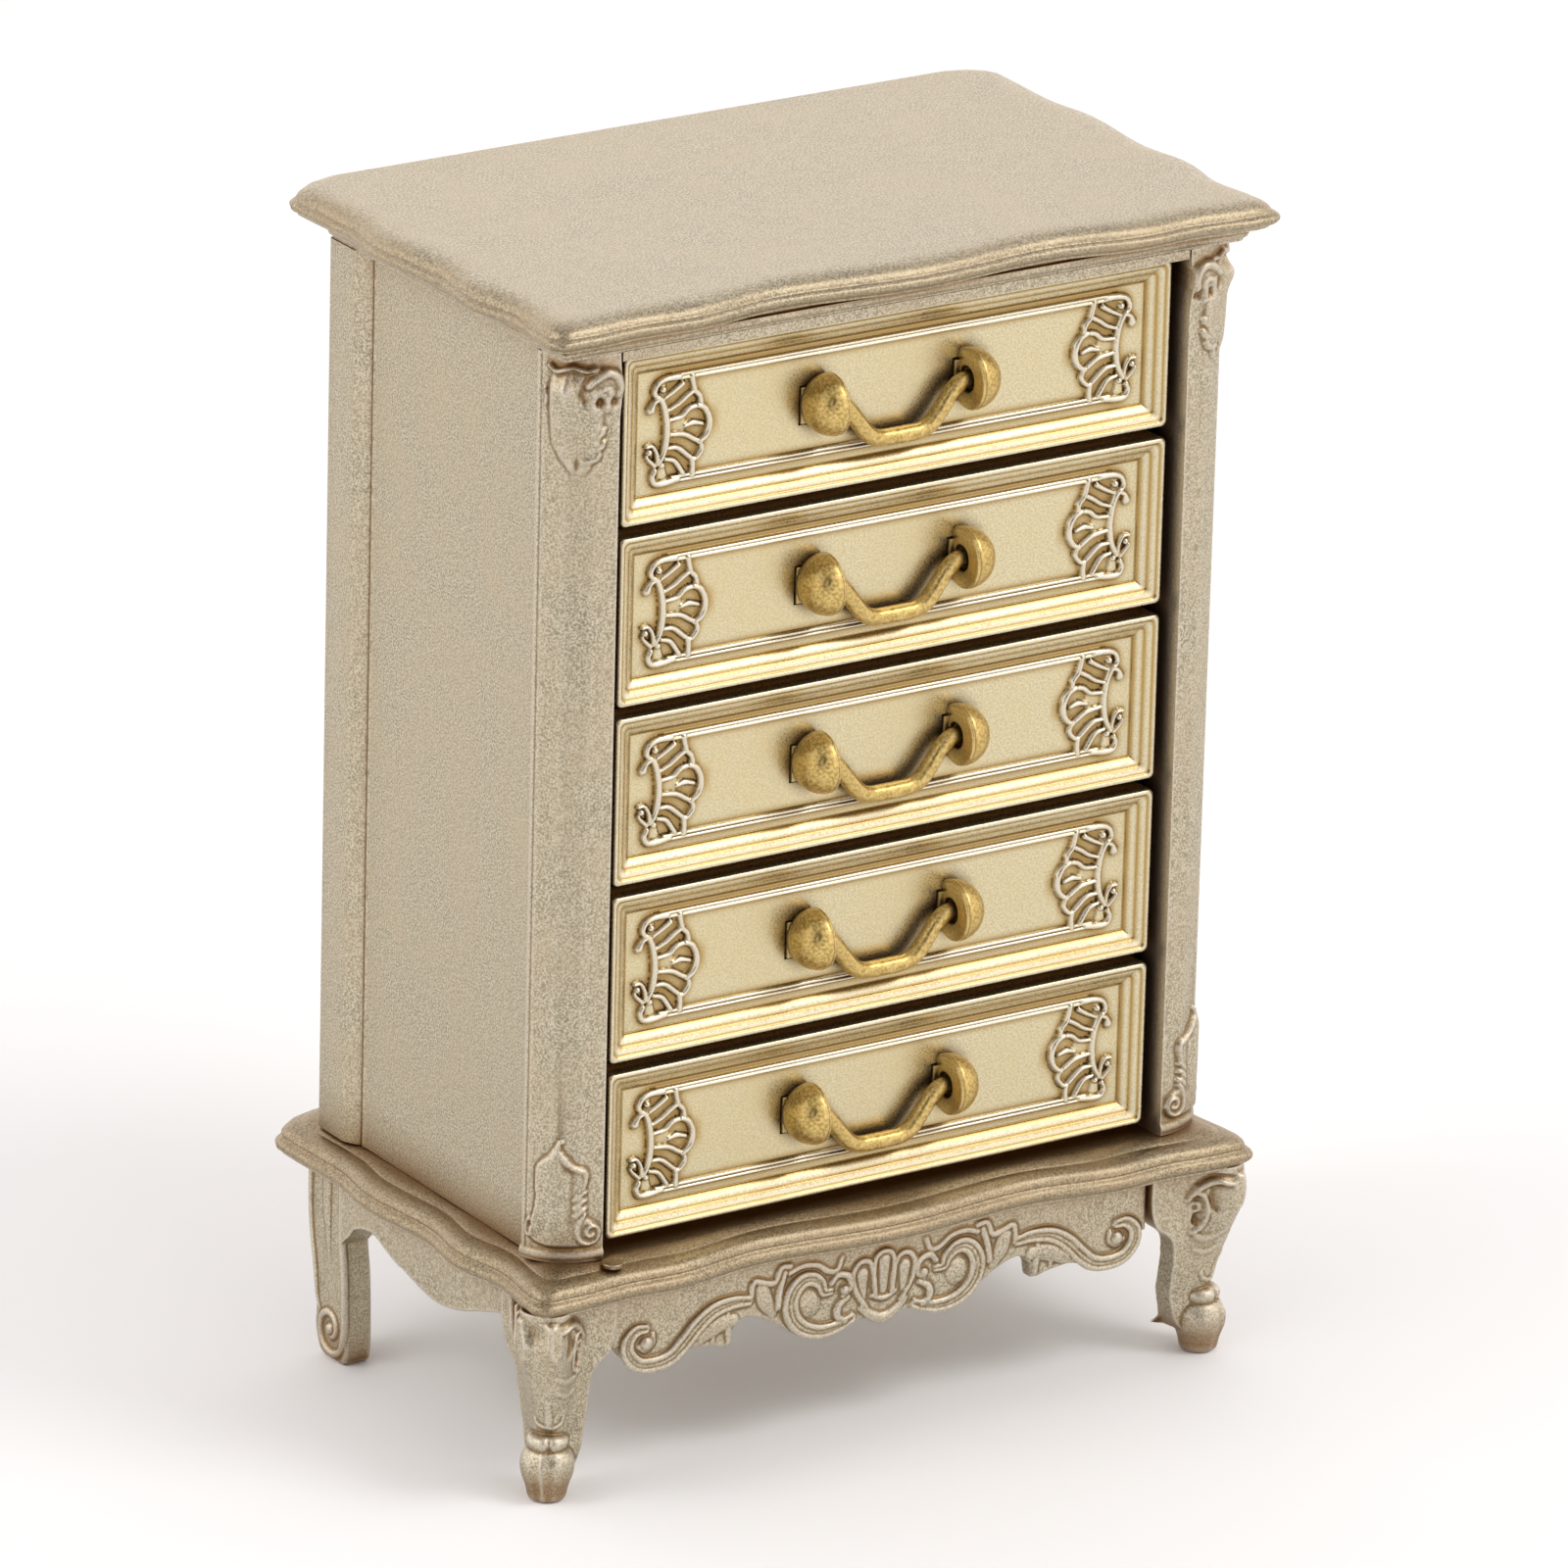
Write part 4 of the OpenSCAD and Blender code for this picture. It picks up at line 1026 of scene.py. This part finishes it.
def knob_mesh():
    """Right-hand half-ball knob with its tenon. Its back is cut flat where it meets the panel."""
    low, high = box("knob_right_3")
    front_low, front_high = box("drawer_front_3")
    radius = (high[2] - low[2]) / 2
    pivot = np.array([0, low[1] + radius, (low[2] + high[2]) / 2])
    seat = front_low[1] + BEVEL_D
    lip = 0.25
    centre = high[0] - radius
    pole = [(radius * math.cos(a), radius * math.sin(a)) for a in np.linspace(0.06, math.pi / 2, 24)]
    profile = [(0, 1.6), (0.75, 1.6), (0.76, 0.45), (0.85, 0.36), (1.1, 0.36), (1.18, 0.28),
        (1.22, -0.18), (1.28, -lip), (2.5, -lip), (2.72, -lip + 0.02), (2.83, -0.16), (2.87, -0.06),
        (2.84, 0.03), (2.85, 0.09)] + pole[:-1] + [(0.01, radius)]

    def place(p):
        y = np.minimum(p[:, 0] + pivot[1], seat)
        return np.column_stack([p[:, 2] + centre, y, p[:, 1] + pivot[2]])

    ball_shell = revolve(profile, 72, place)
    middle = (front_low[2] + front_high[2]) / 2
    width, height = 3.2, 3.4
    start = SOCKET_X[0] + 0.15
    outline = np.array([(start, middle - height / 2), (start + width, middle - height / 2),
                        (start + width, middle + height / 2), (start, middle + height / 2)])
    tenon = slab(outline, upright, seat - 0.3, high[1], 0.12)
    return make_mesh("knob", [ball_shell, tenon], 40, METAL_CRESTS)


def flipped(mesh, name):
    """A mirror image of a mesh, on the other side of the chest."""
    copy = mesh.copy()
    copy.name = name
    copy.vertices.foreach_set("co", (vectors(copy) * (-1, 1, 1)).ravel())
    copy.flip_normals()
    copy.update()
    return copy


def bail_mesh():
    """Bent brass rod that hangs between the two knobs."""
    low, high = box("bail_3")
    rod = high[1] - low[1]
    y = (low[1] + high[1]) / 2
    pivot = high[2] - rod / 2
    drop = high[2] - low[2] - rod
    tip = high[0]
    right = np.array([(0, 0), (-1.1, 0), (-1.9, 0), (-2.5, -0.22), (-3.2, -0.8), (-4, -1.8),
        (-4.8, -2.85), (-5.6, -3.65), (-6.6, -drop + 0.06), (-7.8, -drop)]) + (tip, 0)
    path = np.vstack([right, right[::-1] * (-1, 1)]) + (0, pivot)
    pin = [rod - 0.2, rod - 0.16]
    arm = [rod - 0.02, rod, rod * 0.97, rod, rod * 1.02, rod * 0.97, rod]
    widths = pin + arm + arm[::-1] + pin[::-1]
    shell = tube(upright(level(path, y)), widths, sides=24, steps=6)
    return make_mesh("bail", [shell], 60, METAL_CRESTS)


def build_drawers():
    """The pieces of drawer 3, and the same again at the height of each other drawer."""
    knob = knob_mesh()
    parts = (("drawer_front", "carved", drawer_mesh(), GILT, "drawer", "drawer_paint"),
             ("drawer_tray", "box", tray_mesh(), INNER, "drawer", "drawer_box"),
             ("knob_left", "turned", flipped(knob, "knob_left"), BRASS, "drawer", "handle_brass"),
             ("knob_right", "turned", knob, BRASS, "drawer", "handle_brass"),
             ("bail", "bent", bail_mesh(), BRASS, "handle", "handle_brass"))
    home = box("drawer_front_3")[0][2]
    for k in DRAWERS:
        lift = box(f"drawer_front_{k}")[0][2] - home
        for cad, word, mesh, finish, body, slot in parts:
            piece(f"{cad}_{word}_{k}", mesh, finish, f"{body}_{k}", f"{cad}_{k}", slot, lift)


def finish_shelves():
    """The plain shelves inside keep their CAD shape and take the carcass paint."""
    for name in ["bottom_board"] + [f"divider_{k}" for k in range(1, 5)]:
        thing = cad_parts[name]
        for slot in thing.material_slots:
            slot.material = PAINT


# ---- Stage ----

def aim(thing, place, way, roll=0):
    """Puts an object at a place with its own Z axis along way."""
    thing.location = place
    thing.rotation_mode = "QUATERNION"
    turn = Vector(way).to_track_quat("Z", "Y")
    thing.rotation_quaternion = turn @ Quaternion((0, 0, 1), math.radians(roll))


def direction(azimuth, elevation):
    """Unit vector from the chest towards a place round it. Azimuth 0 is in front."""
    a, e = math.radians(azimuth), math.radians(elevation)
    return Vector((math.sin(a) * math.cos(e), -math.cos(a) * math.cos(e), math.sin(e)))


def soft_light(name, azimuth, elevation, distance, size, power):
    light = bpy.data.lights.new(name, "AREA")
    light.shape = "DISK"
    light.size = size
    light.energy = power
    way = direction(azimuth, elevation)
    aim(link(name, light), CHEST_MIDDLE + way * distance, way)


CHEST_MIDDLE = (CAD_BOX[0] + CAD_BOX[1]) / 2
CAMERA_WAY = (-33.14, 20.47)


def build_camera():
    """Long lens, seen from the front left and above."""
    roll, distance = 1.49, 1.259
    back = direction(*CAMERA_WAY)
    target = CHEST_MIDDLE + Vector((0.001, -0.0009, -0.0005))
    data = bpy.data.cameras.new("camera")
    data.lens = 316.0
    data.sensor_width = 36
    data.clip_start, data.clip_end = 0.05, 20
    camera = link("camera", data)
    aim(camera, target + back * distance, back, roll)
    bpy.context.scene.camera = camera


def build_floor():
    """Round sheet of pale paper just under the feet."""
    paper = bpy.data.materials.new("pale_paper")
    paper.use_nodes = True
    shader = paper.node_tree.nodes["Principled BSDF"]
    shader.inputs["Base Color"].default_value = (0.93, 0.93, 0.925, 1)
    shader.inputs["Roughness"].default_value = 0.9
    mesh = bpy.data.meshes.new("floor")
    work = bmesh.new()
    bmesh.ops.create_circle(work, cap_ends=True, segments=64, radius=6)
    work.to_mesh(mesh)
    work.free()
    mesh.materials.append(paper)
    thing = link("floor", mesh)
    thing.location.z = -0.00002


def build_light():
    world = bpy.data.worlds.new("studio")
    world.use_nodes = True
    tree = world.node_tree
    sky = tree.nodes["Background"]
    sky.inputs["Color"].default_value = (1, 0.96, 0.96, 1)
    way = node(tree, "TexCoord").outputs["Generated"]
    up = node(tree, "SeparateXYZ", Vector=way).outputs[2]
    glow = spread(tree, up, 0.35, 0.95, 1.56, 0.55)
    facing = node(tree, "VectorMath", {"operation": "DOT_PRODUCT"})
    join = tree.links.new
    join(way, facing.inputs[0])
    facing.inputs[1].default_value = direction(*CAMERA_WAY)
    shaded = spread(tree, facing.outputs["Value"], 0.86, 0.97, 1.0, 0.03)
    strength = node(tree, "Math", {"operation": "MULTIPLY"})
    join(glow, strength.inputs[0])
    join(shaded, strength.inputs[1])
    join(strength.outputs[0], sky.inputs["Strength"])
    bpy.context.scene.world = world
    soft_light("key", 40, 50, 1.1, 0.45, 3)
    soft_light("fill", -100, 45, 1.2, 0.45, 2)
    bpy.context.scene.view_settings.view_transform = "Standard"


build_boards()
build_frieze()
build_sides()
build_back()
build_posts()
build_front_legs()
build_back_legs()
build_side_aprons()
build_back_apron()
build_front_apron()
build_drawers()
finish_shelves()
build_camera()
build_floor()
build_light()
